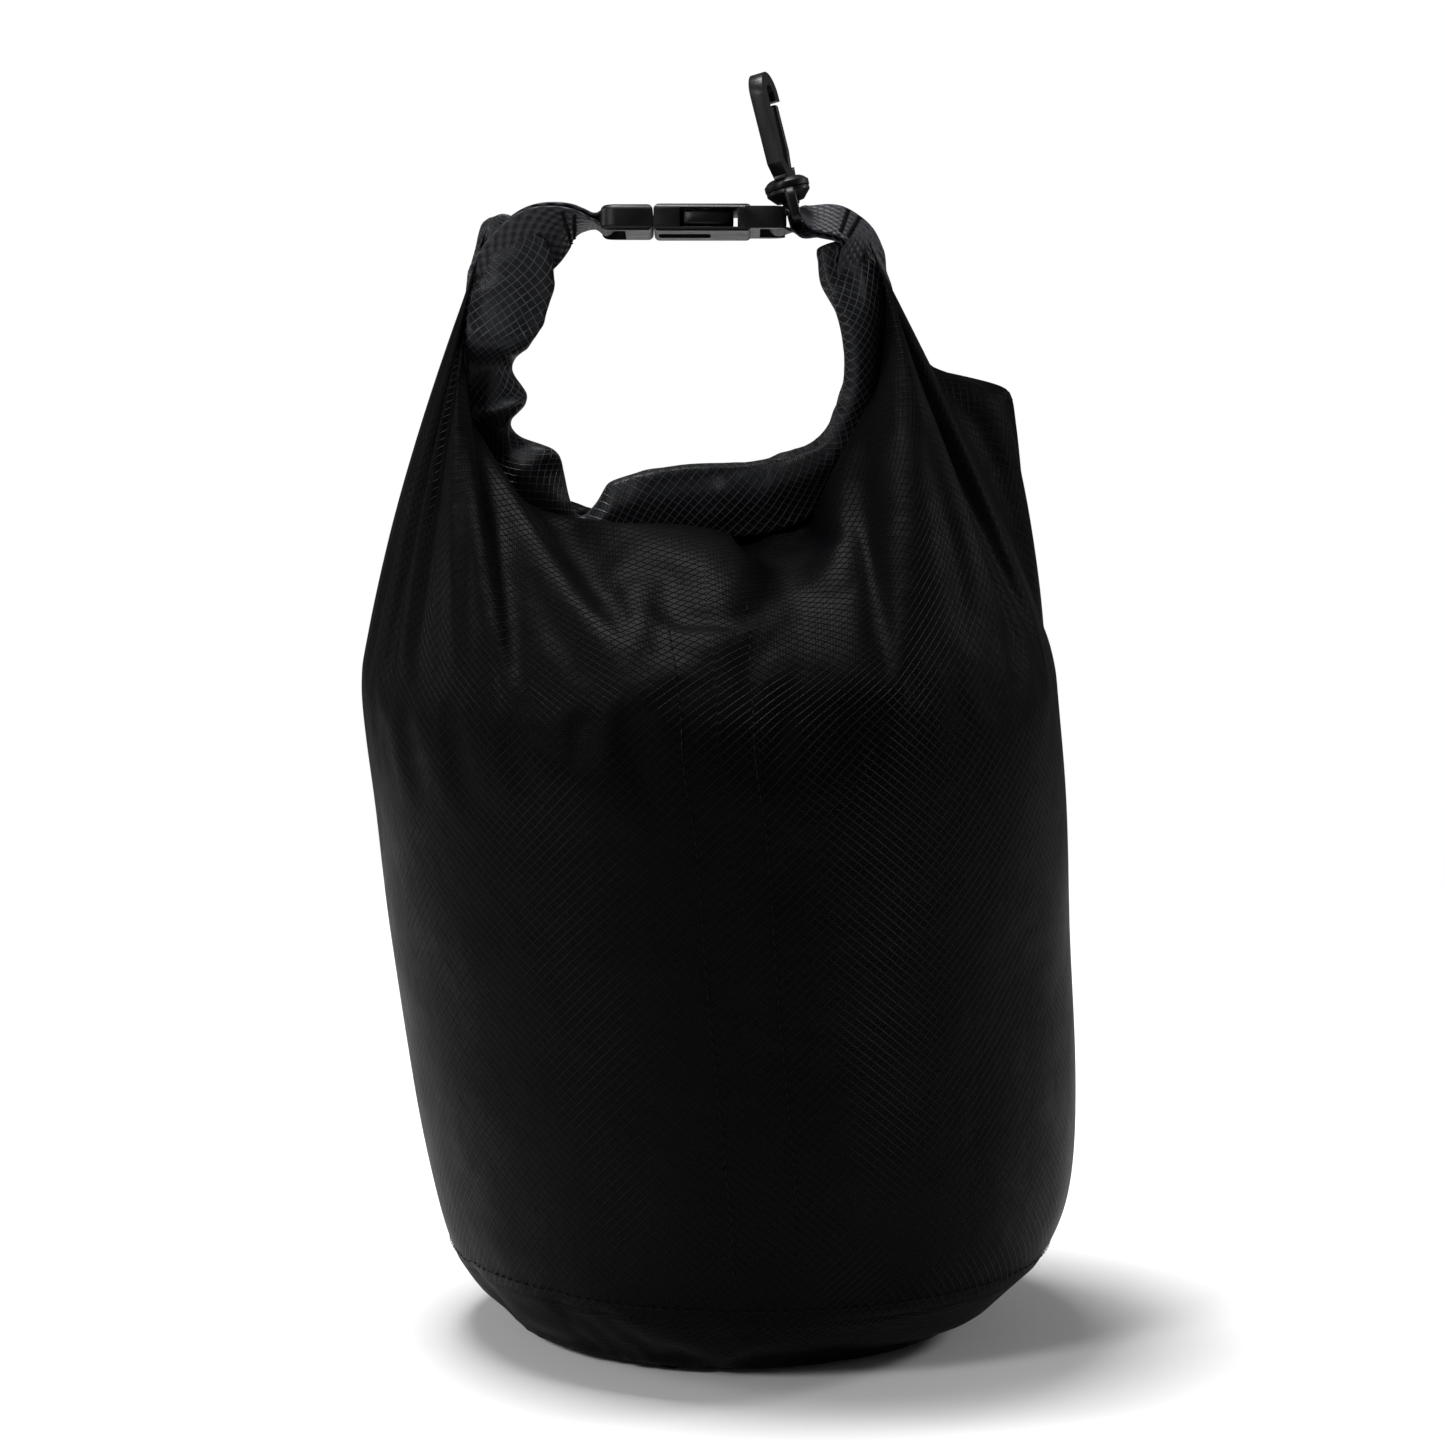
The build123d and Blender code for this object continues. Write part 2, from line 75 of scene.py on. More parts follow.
def smooth(value: float) -> float:
    """Ease a share from 0 to 1 with a smoothstep."""
    share = min(1.0, max(0.0, value))
    return share * share * (3 - 2 * share)


def mix(low: float, high: float, share: float) -> float:
    """Blend two numbers by a share."""
    return low + (high - low) * share


def curve_at(points: list[tuple[float, ...]], position: float) -> tuple[float, ...]:
    """Read a smooth curve through given stations.

    Args:
        points: Stations, each a position followed by its values.
        position: Where to read, in the units of the stations' positions.

    Returns:
        The values there, by a Catmull-Rom curve between the stations.
    """
    last = len(points) - 1
    index = 0
    while index < last - 1 and position > points[index + 1][0]:
        index += 1
    before, low = points[max(0, index - 1)], points[index]
    high, after = points[index + 1], points[min(last, index + 2)]
    t = min(1.0, max(0.0, (position - low[0]) / (high[0] - low[0])))
    values = []
    for k in range(1, len(low)):
        slope_low = (high[k] - before[k]) / max(1e-9, high[0] - before[0]) * (high[0] - low[0])
        slope_high = (after[k] - low[k]) / max(1e-9, after[0] - low[0]) * (high[0] - low[0])
        values.append(
            (2 * t**3 - 3 * t**2 + 1) * low[k]
            + (t**3 - 2 * t**2 + t) * slope_low
            + (3 * t**2 - 2 * t**3) * high[k]
            + (t**3 - t**2) * slope_high
        )
    return tuple(values)


def link(name: str, mesh_source: bmesh.types.BMesh) -> bpy.types.Object:
    """Turn a bmesh into a smooth-shaded object at the origin.

    Args:
        name: The piece's name.
        mesh_source: The finished bmesh, which is freed.

    Returns:
        The linked object.
    """
    mesh = bpy.data.meshes.new(name)
    mesh_source.to_mesh(mesh)
    mesh_source.free()
    mesh.shade_smooth()
    piece = bpy.data.objects.new(name, mesh)
    bpy.context.scene.collection.objects.link(piece)
    return piece


def srgb(code: str) -> tuple[float, float, float, float]:
    """Turn an sRGB hex colour into linear red, green, blue and alpha."""
    parts = [int(code[k : k + 2], 16) / 255 for k in (1, 3, 5)]
    linear = [c / 12.92 if c <= 0.04045 else ((c + 0.055) / 1.055) ** 2.4 for c in parts]
    return (*linear, 1.0)


def add_node(
    tree: bpy.types.NodeTree, kind: str, settings: dict[str, object] | None = None, **links: object
) -> bpy.types.Node:
    """Add a shader node.

    Args:
        tree: The material's node tree.
        kind: The node's type.
        settings: Properties by name.
        links: Sockets to fill by number, as s0=..., with an output socket or a value.

    Returns:
        The new node.
    """
    node = tree.nodes.new(kind)
    for key, value in (settings or {}).items():
        setattr(node, key, value)
    for key, value in links.items():
        socket = node.inputs[int(key[1:])]
        if isinstance(value, bpy.types.NodeSocket):
            tree.links.new(value, socket)
        else:
            socket.default_value = value
    return node


def blank_material(name: str) -> tuple[bpy.types.Material, bpy.types.NodeTree, bpy.types.Node]:
    """Start a node material and give it with its tree and its shader."""
    material = bpy.data.materials.new(name)
    material.use_nodes = True
    tree = material.node_tree
    return material, tree, tree.nodes["Principled BSDF"]


@dataclass(frozen=True)
class RipstopFinish:
    """Coated nylon ripstop, woven with a raised diamond grid.

    The coating leaves the ground nearly black with a faint sheen, and the thicker, smoother grid
    threads turn bright or dark with the light.
    """

    name: str = "coated_nylon_ripstop"
    ground: str = "#020203"
    thread: str = "#07080A"
    cell_width: float = 0.0034
    cell_height: float = 0.0030
    line_share: float = 0.10
    weave_pitch: float = 0.0008
    ridge: float = 0.00030
    roughness: float = 0.50
    thread_shine: float = 0.16
    specular: float = 0.035
    dent: float = 6.0

    def build(self) -> bpy.types.Material:
        """Build the material on the cloth's own map, whose unit is the metre.

        Returns:
            The finished material.
        """
        material, tree, shader = blank_material(self.name)
        cloth_map = add_node(tree, "ShaderNodeUVMap", {"uv_map": "cloth"})
        split = add_node(tree, "ShaderNodeSeparateXYZ", s0=cloth_map.outputs[0])
        counts, ridges = [], []
        for axis, cell in ((0, self.cell_width), (1, self.cell_height)):
            counts.append(
                add_node(tree, "ShaderNodeMath", {"operation": "DIVIDE"}, s0=split.outputs[axis], s1=cell)
            )
            # The real weave is about 0.25 mm, drawn at 0.8 mm so that it shows.
            yarn = add_node(
                tree,
                "ShaderNodeMath",
                {"operation": "DIVIDE"},
                s0=split.outputs[axis],
                s1=self.weave_pitch,
            )
            ridges.append(
                add_node(tree, "ShaderNodeMath", {"operation": "PINGPONG"}, s0=yarn.outputs[0], s1=0.5)
            )
        masks = []
        for operation in ("ADD", "SUBTRACT"):
            slant = add_node(
                tree,
                "ShaderNodeMath",
                {"operation": operation},
                s0=counts[0].outputs[0],
                s1=counts[1].outputs[0],
            )
            wave = add_node(
                tree, "ShaderNodeMath", {"operation": "PINGPONG"}, s0=slant.outputs[0], s1=0.5
            )
            masks.append(
                add_node(
                    tree,
                    "ShaderNodeMapRange",
                    {"interpolation_type": "SMOOTHSTEP"},
                    s0=wave.outputs[0],
                    s1=0.0,
                    s2=self.line_share,
                    s3=1.0,
                    s4=0.0,
                )
            )
        grid = add_node(
            tree,
            "ShaderNodeMath",
            {"operation": "MAXIMUM"},
            s0=masks[0].outputs[0],
            s1=masks[1].outputs[0],
        )
        weave = add_node(
            tree, "ShaderNodeMath", {"operation": "ADD"}, s0=ridges[0].outputs[0], s1=ridges[1].outputs[0]
        )
        fine = add_node(
            tree,
            "ShaderNodeMath",
            {"operation": "MULTIPLY_ADD"},
            s0=weave.outputs[0],
            s1=0.16,
            s2=grid.outputs[0],
        )
        place = add_node(tree, "ShaderNodeTexCoord")
        cloud = add_node(tree, "ShaderNodeTexNoise", s0=place.outputs["Object"], s2=38.0, s3=4.0)
        crease = add_node(tree, "ShaderNodeTexNoise", s0=place.outputs["Object"], s2=130.0, s3=3.0)
        colour = add_node(
            tree,
            "ShaderNodeMix",
            {"data_type": "RGBA"},
            s0=grid.outputs[0],
            s6=srgb(self.ground),
            s7=srgb(self.thread),
        )
        tree.links.new(colour.outputs[2], shader.inputs["Base Color"])
        patch = add_node(
            tree,
            "ShaderNodeMapRange",
            s0=cloud.outputs[0],
            s1=0.3,
            s2=0.7,
            s3=self.roughness - 0.06,
            s4=self.roughness + 0.06,
        )
        rough = add_node(
            tree,
            "ShaderNodeMath",
            {"operation": "MULTIPLY_ADD"},
            s0=grid.outputs[0],
            s1=-self.thread_shine,
            s2=patch.outputs[0],
        )
        tree.links.new(rough.outputs[0], shader.inputs["Roughness"])
        height = add_node(
            tree,
            "ShaderNodeMath",
            {"operation": "MULTIPLY_ADD"},
            s0=crease.outputs[0],
            s1=1.1,
            s2=fine.outputs[0],
        )
        dented = add_node(
            tree,
            "ShaderNodeMath",
            {"operation": "MULTIPLY_ADD"},
            s0=cloud.outputs[0],
            s1=self.dent,
            s2=height.outputs[0],
        )
        bump = add_node(tree, "ShaderNodeBump", s0=0.9, s1=self.ridge, s3=dented.outputs[0])
        tree.links.new(bump.outputs[0], shader.inputs["Normal"])
        shader.inputs["Specular IOR Level"].default_value = self.specular
        return material


@dataclass(frozen=True)
class WebbingFinish:
    """Black polypropylene webbing in a coarse plain weave, dull, with painted highlights on its raised
    weave.
    """

    name: str = "woven_webbing"
    # low is the webbing's own black; high is a painted highlight colour for the raised weave.
    low: str = "#050506"
    high: str = "#2C2D34"
    rib_pitch: float = 0.0030
    row_pitch: float = 0.0034
    relief: float = 0.0005
    roughness: float = 0.55
    specular: float = 0.3

    def build(self) -> bpy.types.Material:
        """Build the material on the tab's own map.

        Returns:
            The finished material.
        """
        material, tree, shader = blank_material(self.name)
        cloth_map = add_node(tree, "ShaderNodeUVMap", {"uv_map": "cloth"})
        split = add_node(tree, "ShaderNodeSeparateXYZ", s0=cloth_map.outputs[0])
        waves = []
        for axis, pitch in ((0, self.rib_pitch), (1, self.row_pitch)):
            phase = add_node(
                tree,
                "ShaderNodeMath",
                {"operation": "MULTIPLY"},
                s0=split.outputs[axis],
                s1=2 * math.pi / pitch,
            )
            waves.append(add_node(tree, "ShaderNodeMath", {"operation": "SINE"}, s0=phase.outputs[0]))
        lifted = add_node(
            tree,
            "ShaderNodeMath",
            {"operation": "MULTIPLY"},
            s0=waves[0].outputs[0],
            s1=waves[1].outputs[0],
        )
        relief = add_node(
            tree, "ShaderNodeMapRange", s0=lifted.outputs[0], s1=-1.0, s2=1.0, s3=0.0, s4=1.0
        )
        # The raised weave takes the high colour as a painted highlight.
        colour = add_node(
            tree,
            "ShaderNodeMix",
            {"data_type": "RGBA"},
            s0=relief.outputs[0],
            s6=srgb(self.low),
            s7=srgb(self.high),
        )
        tree.links.new(colour.outputs[2], shader.inputs["Base Color"])
        bump = add_node(tree, "ShaderNodeBump", s0=1.0, s1=self.relief, s3=relief.outputs[0])
        tree.links.new(bump.outputs[0], shader.inputs["Normal"])
        shader.inputs["Roughness"].default_value = self.roughness
        shader.inputs["Specular IOR Level"].default_value = self.specular
        return material


@dataclass(frozen=True)
class GrainedFinish:
    """A plain black finish with a fine grain and cloudy gloss.

    It serves moulded acetal with its spark-eroded texture and rubbed patches, calendered rubber
    tape and spun polyester thread, which differ in grain and gloss.
    """

    name: str
    colour: str
    roughness: float
    grit: float
    relief: float
    specular: float
    cloud: float = 140.0

    def build(self) -> bpy.types.Material:
        """Build the material on object coordinates.

        Returns:
            The finished material.
        """
        material, tree, shader = blank_material(self.name)
        place = add_node(tree, "ShaderNodeTexCoord")
        grain = add_node(
            tree, "ShaderNodeTexNoise", s0=place.outputs["Object"], s2=1 / self.grit, s3=2.0
        )
        rub = add_node(
            tree, "ShaderNodeTexNoise", s0=place.outputs["Object"], s2=self.cloud, s3=3.0
        )
        rough = add_node(
            tree,
            "ShaderNodeMapRange",
            s0=rub.outputs[0],
            s1=0.3,
            s2=0.7,
            s3=self.roughness - 0.07,
            s4=self.roughness + 0.10,
        )
        tree.links.new(rough.outputs[0], shader.inputs["Roughness"])
        bump = add_node(tree, "ShaderNodeBump", s0=0.5, s1=self.relief, s3=grain.outputs[0])
        tree.links.new(bump.outputs[0], shader.inputs["Normal"])
        shader.inputs["Base Color"].default_value = srgb(self.colour)
        shader.inputs["Specular IOR Level"].default_value = self.specular
        return material


# The roll is the body's own ripstop. Its lighter ground and bright grid threads are painted highlight, a lit
# copy of the body's finish.
ROLLED_RIPSTOP = RipstopFinish(
    name="roll_ripstop_painted_highlight",
    ground="#0B0C0E",
    thread="#4C4F56",
    roughness=0.46,
    thread_shine=0.14,
    specular=0.26,
)
BUCKLE_ACETAL = GrainedFinish("moulded_buckle_acetal", "#08080A", 0.40, 0.0007, 0.00006, 0.22)
HOOK_ACETAL = GrainedFinish("moulded_hook_acetal", "#08080A", 0.38, 0.0009, 0.00004, 0.20)
TAPE_RUBBER = GrainedFinish("calendered_seam_tape", "#101013", 0.45, 0.0012, 0.00005, 0.3, 60.0)
STRIP_RUBBER = GrainedFinish("stiff_mouth_strip", "#0B0B0C", 0.6, 0.0010, 0.00006, 0.3, 60.0)
SPUN_THREAD = GrainedFinish("spun_polyester_thread", "#060607", 0.8, 0.0005, 0.00010, 0.08)


def dress(piece: bpy.types.Object, material: bpy.types.Material) -> None:
    """Give a piece one material."""
    piece.data.materials.clear()
    piece.data.materials.append(material)


@dataclass
class BodyShape:
    """The stuffed body's outline: round in plan, leaning, with full lower corners.

    The stations give the share of the shoulder height, the lean in metres and the share of the radius.
    """

    shoulder_height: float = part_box("wall_panel")[1][2]
    radius: float = (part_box("wall_panel")[1][0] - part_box("wall_panel")[0][0]) / 2 - 0.0035
    depth_share: float = 0.927
    stations: list[tuple[float, float, float]] = field(
        default_factory=lambda: [
            (0.0, 0.0025, 0.585),
            (0.035, 0.004, 0.68),
            (0.08, 0.007, 0.79),
            (0.125, 0.009, 0.86),
            (0.2, 0.010, 0.915),
            (0.33, 0.008, 0.95),
            (0.55, 0.003, 0.97),
            (0.73, 0.0, 0.985),
            (0.87, -0.004, 1.0),
            (1.0, -0.0015, 0.962),
            (1.1, -0.001, 0.80),
        ]
    )

    def point(self, angle: float, height: float, grow: float = 0.0) -> Vector:
        """Give a point of the outline.

        Args:
            angle: Direction from the middle, in radians, 0 to the right.
            height: Height above the floor.
            grow: How far outside the outline.

        Returns:
            The point.
        """
        lean, share = curve_at(self.stations, height / self.shoulder_height)
        across = self.radius * share + grow
        deep = self.radius * share * self.depth_share + grow
        return Vector((lean + across * math.cos(angle), deep * math.sin(angle), height))


@dataclass
class MouthLine:
    """The lines where the body's fabric enters the roll, in front of it and behind it.

    Each station gives a share of the line, from the left tip down and up to the right tip, and a point.
    """

    front: list[tuple[float, ...]] = field(
        default_factory=lambda: [
            (0.0, -0.0680, -0.0010, 0.3260),
            (0.10, -0.0745, -0.0010, 0.3000),
            (0.20, -0.0735, -0.0030, 0.2700),
            (0.28, -0.0620, -0.0065, 0.2490),
            (0.35, -0.0480, -0.0095, 0.2390),
            (0.43, -0.0270, -0.0115, 0.2370),
            (0.50, -0.0070, -0.0115, 0.2360),
            (0.555, 0.0060, -0.0110, 0.2325),
            (0.595, 0.0130, -0.0080, 0.2250),
            (0.64, 0.0230, -0.0095, 0.2370),
            (0.69, 0.0330, -0.0095, 0.2510),
            (0.75, 0.0395, -0.0090, 0.2680),
            (0.82, 0.0455, -0.0075, 0.2840),
            (0.91, 0.0470, -0.0050, 0.3080),
            (1.0, 0.0425, 0.0000, 0.3215),
        ]
    )
    rear: list[tuple[float, ...]] = field(
        default_factory=lambda: [
            (0.0, -0.0680, 0.0010, 0.3260),
            (0.10, -0.0745, 0.0015, 0.3000),
            (0.20, -0.0735, 0.0035, 0.2680),
            (0.30, -0.0600, 0.0060, 0.2420),
            (0.40, -0.0330, 0.0080, 0.2350),
            (0.50, -0.0050, 0.0085, 0.2360),
            (0.60, 0.0190, 0.0080, 0.2380),
            (0.70, 0.0370, 0.0070, 0.2500),
            (0.80, 0.0470, 0.0060, 0.2740),
            (0.90, 0.0480, 0.0040, 0.3010),
            (1.0, 0.0425, 0.0000, 0.3215),
        ]
    )

    def point(self, share: float, front: bool) -> Vector:
        """Give the point of one line at a share of its length."""
        return Vector(curve_at(self.front if front else self.rear, share))


@dataclass
class BagCloth:
    """The bag's fabric: one tube from the roll to the base seam, and the round base sewn to it."""

    body: BodyShape
    mouth: MouthLine
    columns: int = 144
    rows: int = 72
    base_rings: int = 16
    circumference: float = 0.647
    gather: float = 0.45
    dip: float = 0.065
    tube_length: float = 0.304
    seam_height: float = 0.026
    sim_scale: float = 10.0
    frames: int = 70
    wall_thickness: float = 0.00035
    tape_width: float = 0.022
    stitch_pitch: float = 0.0034
    ear: tuple[int, int] = (42, 15)
    ear_point: tuple[float, float, float] = (0.0850, 0.014, 0.2775)
    ear_reach: tuple[float, float, float] = (0.038, 0.030, 0.062)

    def angle(self, column: int) -> float:
        """Give a column's direction, counted from the seam at the front."""
        return -math.pi / 2 + 2 * math.pi * column / self.columns

    def start_point(self, column: int, row: int) -> Vector:
        """Place a point of the tube before it settles.

        Args:
            column: Column round the tube, from the front seam.
            row: Row down the tube, from the roll.

        Returns:
            The point.
        """
        angle = self.angle(column)
        up = self.tube_length * (1 - row / self.rows)
        shoulder_start = 0.178
        if up <= shoulder_start:
            return self.body.point(angle, self.seam_height + up * 0.985, 0.001)
        rim = self.body.point(angle, self.seam_height + shoulder_start * 0.985, 0.001)
        turn = (angle + math.pi) % (2 * math.pi)
        share = turn / math.pi if turn <= math.pi else 2 - turn / math.pi
        front = -1 if turn <= math.pi else 1
        edge = math.sin(math.pi * share)
        gathered = share - self.gather * math.sin(2 * math.pi * share) / (2 * math.pi)
        neck = self.mouth.point(gathered, front < 0)
        t = (up - shoulder_start) / (self.tube_length - shoulder_start)
        rise = math.sin(math.pi * t)
        outward = Vector((rim.x, rim.y, 0)).normalized()
        bulge = outward * (0.010 * rise) + Vector((0, 0, mix(0.006, 0.020, edge) * rise))
        return rim.lerp(neck, t) + bulge

    def base_point(self, column: int, ring: int) -> Vector:
        """Place a point of the base before it settles, from the seam in to the middle."""
        angle = self.angle(column)
        t = ring / (self.base_rings + 0.5)
        turned_in = 0.42
        if t < turned_in:
            return self.body.point(angle, self.seam_height * (1 - t / turned_in) ** 1.4 + 0.0004)
        foot = self.body.point(angle, 0.0004)
        middle = Vector((self.body.stations[0][1], 0, 0.0004))
        return foot.lerp(middle, (t - turned_in) / (1 - turned_in))

    def rest_point(self, column: int, row: int, ring: int) -> Vector:
        """Give a point of the fabric as it was cut: a plain tube on a flat disc."""
        angle = self.angle(column)
        radius = self.circumference / (2 * math.pi)
        if ring > 0:
            radius *= 1 - int(ring) / (self.base_rings + 0.5)
            return Vector((radius * math.cos(angle), radius * math.sin(angle), 0))
        up = self.tube_length * (1 - row / self.rows) * (1 - self.dip * math.sin(angle) ** 2)
        return Vector((radius * math.cos(angle), radius * math.sin(angle), up))

    def weave(self) -> bpy.types.Object:
        """Build the fabric in its start shape, with its cut shape as a second shape key."""
        bm = bmesh.new()
        column_layer = bm.verts.layers.int.new("column")
        row_layer = bm.verts.layers.int.new("row")
        ring_layer = bm.verts.layers.int.new("ring")
        made = bmesh.ops.create_circle(bm, segments=self.columns, radius=1.0)
        for column, vert in enumerate(made["verts"]):
            vert[column_layer] = column
        edges = list(bm.edges)
        for step in range(self.rows + self.base_rings):
            grown = bmesh.ops.extrude_edge_only(bm, edges=edges)["geom"]
            edges = [item for item in grown if isinstance(item, bmesh.types.BMEdge)]
            for vert in (item for item in grown if isinstance(item, bmesh.types.BMVert)):
                vert[row_layer] = min(step + 1, self.rows)
                vert[ring_layer] = max(0, step + 1 - self.rows)
            edges = [edge for edge in edges if edge.is_boundary]
        cap = bmesh.ops.contextual_create(bm, geom=edges)["faces"]
        hub = bmesh.ops.poke(bm, faces=cap)["verts"]
        for vert in hub:
            vert[row_layer], vert[ring_layer] = self.rows, self.base_rings + 1
        for vert in bm.verts:
            column, row, ring = vert[column_layer], vert[row_layer], vert[ring_layer]
            if ring > self.base_rings:
                vert.co = Vector((self.body.stations[0][1], 0, 0.0004)) * self.sim_scale
            elif ring:
                vert.co = self.base_point(column, ring) * self.sim_scale
            else:
                vert.co = self.start_point(column, row) * self.sim_scale
        uv_layer = bm.loops.layers.uv.new("cloth")
        pitch = self.circumference / self.columns
        for face in bm.faces:
            columns = [loop.vert[column_layer] for loop in face.loops]
            wraps = max(columns) - min(columns) > self.columns / 2
            for loop in face.loops:
                column, row = loop.vert[column_layer], loop.vert[row_layer]
                ring = loop.vert[ring_layer]
                if any(other.vert[ring_layer] for other in face.loops):
                    flat = self.rest_point(column, row, max(ring, 0.001))
                    loop[uv_layer].uv = (flat.x, flat.y) if ring <= self.base_rings else (0, 0)
                else:
                    column = self.columns if wraps and column == 0 else column
                    loop[uv_layer].uv = (column * pitch, self.tube_length * (1 - row / self.rows))
        bmesh.ops.recalc_face_normals(bm, faces=bm.faces)
        cloth = link("bag_cloth", bm)
        cloth.shape_key_add(name="start")
        cut = cloth.shape_key_add(name="cut")
        data = cloth.data.attributes
        places = [
            (data["column"].data[i].value, data["row"].data[i].value, data["ring"].data[i].value)
            for i in range(len(cloth.data.vertices))
        ]
        for index, (column, row, ring) in enumerate(places):
            if ring > self.base_rings:
                cut.data[index].co = Vector((0, 0, 0))
            else:
                cut.data[index].co = self.rest_point(column, row, ring) * self.sim_scale
        pinned = cloth.vertex_groups.new(name="pinned")
        top = [i for i, (column, row, ring) in enumerate(places) if row == 0]
        pinned.add(top, 1.0, "REPLACE")
        return cloth

    def stuffing(self) -> bpy.types.Object:
        """Build the firm filling that the fabric settles on while it is shaped."""
        bm = bmesh.new()
        made = bmesh.ops.create_circle(bm, cap_ends=True, segments=96, radius=1.0)
        ring = made["verts"]
        edges = list(bm.edges)
        levels = [mix(0.001, 0.196, k / 30) for k in range(31)] + [
            0.196 + 0.042 * math.sin(math.pi / 2 * k / 8) for k in range(1, 9)
        ]
        for index, height in enumerate(levels):
            if index:
                grown = bmesh.ops.extrude_edge_only(bm, edges=edges)["geom"]
                ring = [item for item in grown if isinstance(item, bmesh.types.BMVert)]
                edges = [e for e in grown if isinstance(e, bmesh.types.BMEdge) and e.is_boundary]
            dome = max(0, index - 30) / 8
            for vert in ring:
                angle = math.atan2(vert.co.y, vert.co.x)
                place = self.body.point(angle, min(height, 0.2), -0.003)
                shrink = math.cos(math.pi / 2 * dome * 0.98)
                tilt = 0.007 * dome * math.sin(angle)
                vert.co = Vector((place.x * shrink, place.y * shrink, height + tilt)) * self.sim_scale
        bmesh.ops.contextual_create(bm, geom=edges)
        bmesh.ops.recalc_face_normals(bm, faces=bm.faces)
        return link("stuffing", bm)

    def settle(self) -> bpy.types.Mesh:
        """Let the fabric settle over its filling, and give its mesh at its real size."""
        cloth = self.weave()
        filling = self.stuffing()
        bm = bmesh.new()
        bmesh.ops.create_grid(bm, x_segments=1, y_segments=1, size=3.0)
        ground = link("ground", bm)
        for collider in (filling, ground):
            collider.modifiers.new("collision", "COLLISION")
            collider.collision.thickness_outer = 0.01
            collider.collision.cloth_friction = 12
        modifier = cloth.modifiers.new("cloth", "CLOTH")
        settings = modifier.settings
        settings.quality = 6
        settings.mass = 0.2
        settings.tension_stiffness = 60
        settings.compression_stiffness = 60
        settings.shear_stiffness = 12
        settings.bending_stiffness = 0.35
        settings.air_damping = 4
        settings.vertex_group_mass = "pinned"
        settings.rest_shape_key = cloth.data.shape_keys.key_blocks["cut"]
        settings.use_pressure = True
        settings.uniform_pressure_force = 1.1
        modifier.collision_settings.distance_min = 0.01
        modifier.collision_settings.collision_quality = 3
        modifier.point_cache.frame_start = 1
        modifier.point_cache.frame_end = self.frames
        scene = bpy.context.scene
        for number in range(1, self.frames + 1):
            scene.frame_set(number)
        depsgraph = bpy.context.evaluated_depsgraph_get()
        settled = bpy.data.meshes.new_from_object(cloth.evaluated_get(depsgraph))
        scene.frame_set(1)
        for helper in (cloth, filling, ground):
            bpy.data.objects.remove(helper)
        settled.transform(Matrix.Scale(1 / self.sim_scale, 4))
        self.pull_ear(settled)
        return settled

    def pull_ear(self, settled: bpy.types.Mesh) -> None:
        """Pull out the stiff folded corner that stands behind the right shoulder.

        Args:
            settled: The whole settled fabric, whose points are moved.
        """
        data = settled.attributes
        places = [
            (data["column"].data[i].value, data["row"].data[i].value, data["ring"].data[i].value)
            for i in range(len(settled.vertices))
        ]
        corner = settled.vertices[places.index((*self.ear, 0))].co
        pull = Vector(self.ear_point) - corner
        column_pitch = self.circumference / self.columns
        row_pitch = self.tube_length / self.rows
        for vert, (column, row, ring) in zip(settled.vertices, places):
            if ring:
                continue
            around = (column - self.ear[0]) * column_pitch / self.ear_reach[0]
            down = (row - self.ear[1]) * row_pitch / self.ear_reach[2 if row > self.ear[1] else 1]
            vert.co += pull * max(0.0, 1 - math.hypot(around, down))

    def cut_out(
        self,
        settled: bpy.types.Mesh,
        name: str,
        keep: Callable[[float, int, int], bool],
        depth: float,
        thickness: float,
    ) -> bpy.types.Object:
        """Take one piece out of the settled fabric and give it its thickness.

        Args:
            settled: The whole settled fabric.
            name: The piece's name.
            keep: Says whether a point belongs to the piece, from its distance round from the front
                seam in metres, its row and its ring.
            depth: How far inside the fabric's face the piece lies.
            thickness: The piece's thickness.

        Returns:
            The piece.
        """
        bm = bmesh.new()
        bm.from_mesh(settled)
        column_layer = bm.verts.layers.int["column"]
        row_layer = bm.verts.layers.int["row"]
        ring_layer = bm.verts.layers.int["ring"]
        pitch = self.circumference / self.columns
        kept = set()
        for vert in bm.verts:
            column = vert[column_layer]
            around = (column if column <= self.columns / 2 else column - self.columns) * pitch
            if keep(around, vert[row_layer], vert[ring_layer]):
                kept.add(vert)
        dropped = [face for face in bm.faces if any(vert not in kept for vert in face.verts)]
        bmesh.ops.delete(bm, geom=dropped, context="FACES")
        for vert in bm.verts:
            vert.co -= vert.normal * depth
        piece = link(name, bm)
        finer = piece.modifiers.new("finer", "SUBSURF")
        finer.levels = finer.render_levels = 1
        wall = piece.modifiers.new("wall", "SOLIDIFY")
        wall.thickness = thickness
        wall.offset = -1
        return piece

    def pieces(self, settled: bpy.types.Mesh) -> dict[str, bpy.types.Object]:
        """Make the wall, the base and the two seam tapes inside them.

        Args:
            settled: The whole settled fabric.

        Returns:
            The pieces by name.
        """
        half = self.tape_width / 2
        row_pitch = self.tube_length / self.rows
        ring_pitch = self.circumference / (2 * math.pi) / (self.base_rings + 0.5)
        tape_rows = self.rows - round(half / row_pitch)
        tape_rings = round(half / ring_pitch)
        cuts = (
            ("bag_wall", lambda around, row, ring: ring == 0, 0.0, self.wall_thickness),
            (
                "bag_base",
                lambda around, row, ring: ring > 0 or row == self.rows,
                0.0,
                self.wall_thickness,
            ),
            (
                "front_seam_tape",
                lambda around, row, ring: abs(around) < half and 20 < row < tape_rows and not ring,
                0.0006,
                0.0003,
            ),
            (
                "bottom_seam_tape",
                lambda around, row, ring: row >= tape_rows and ring <= tape_rings,
                0.0006,
                0.0003,
            ),
        )
        return {name: self.cut_out(settled, name, keep, deep, thick) for name, keep, deep, thick in cuts}

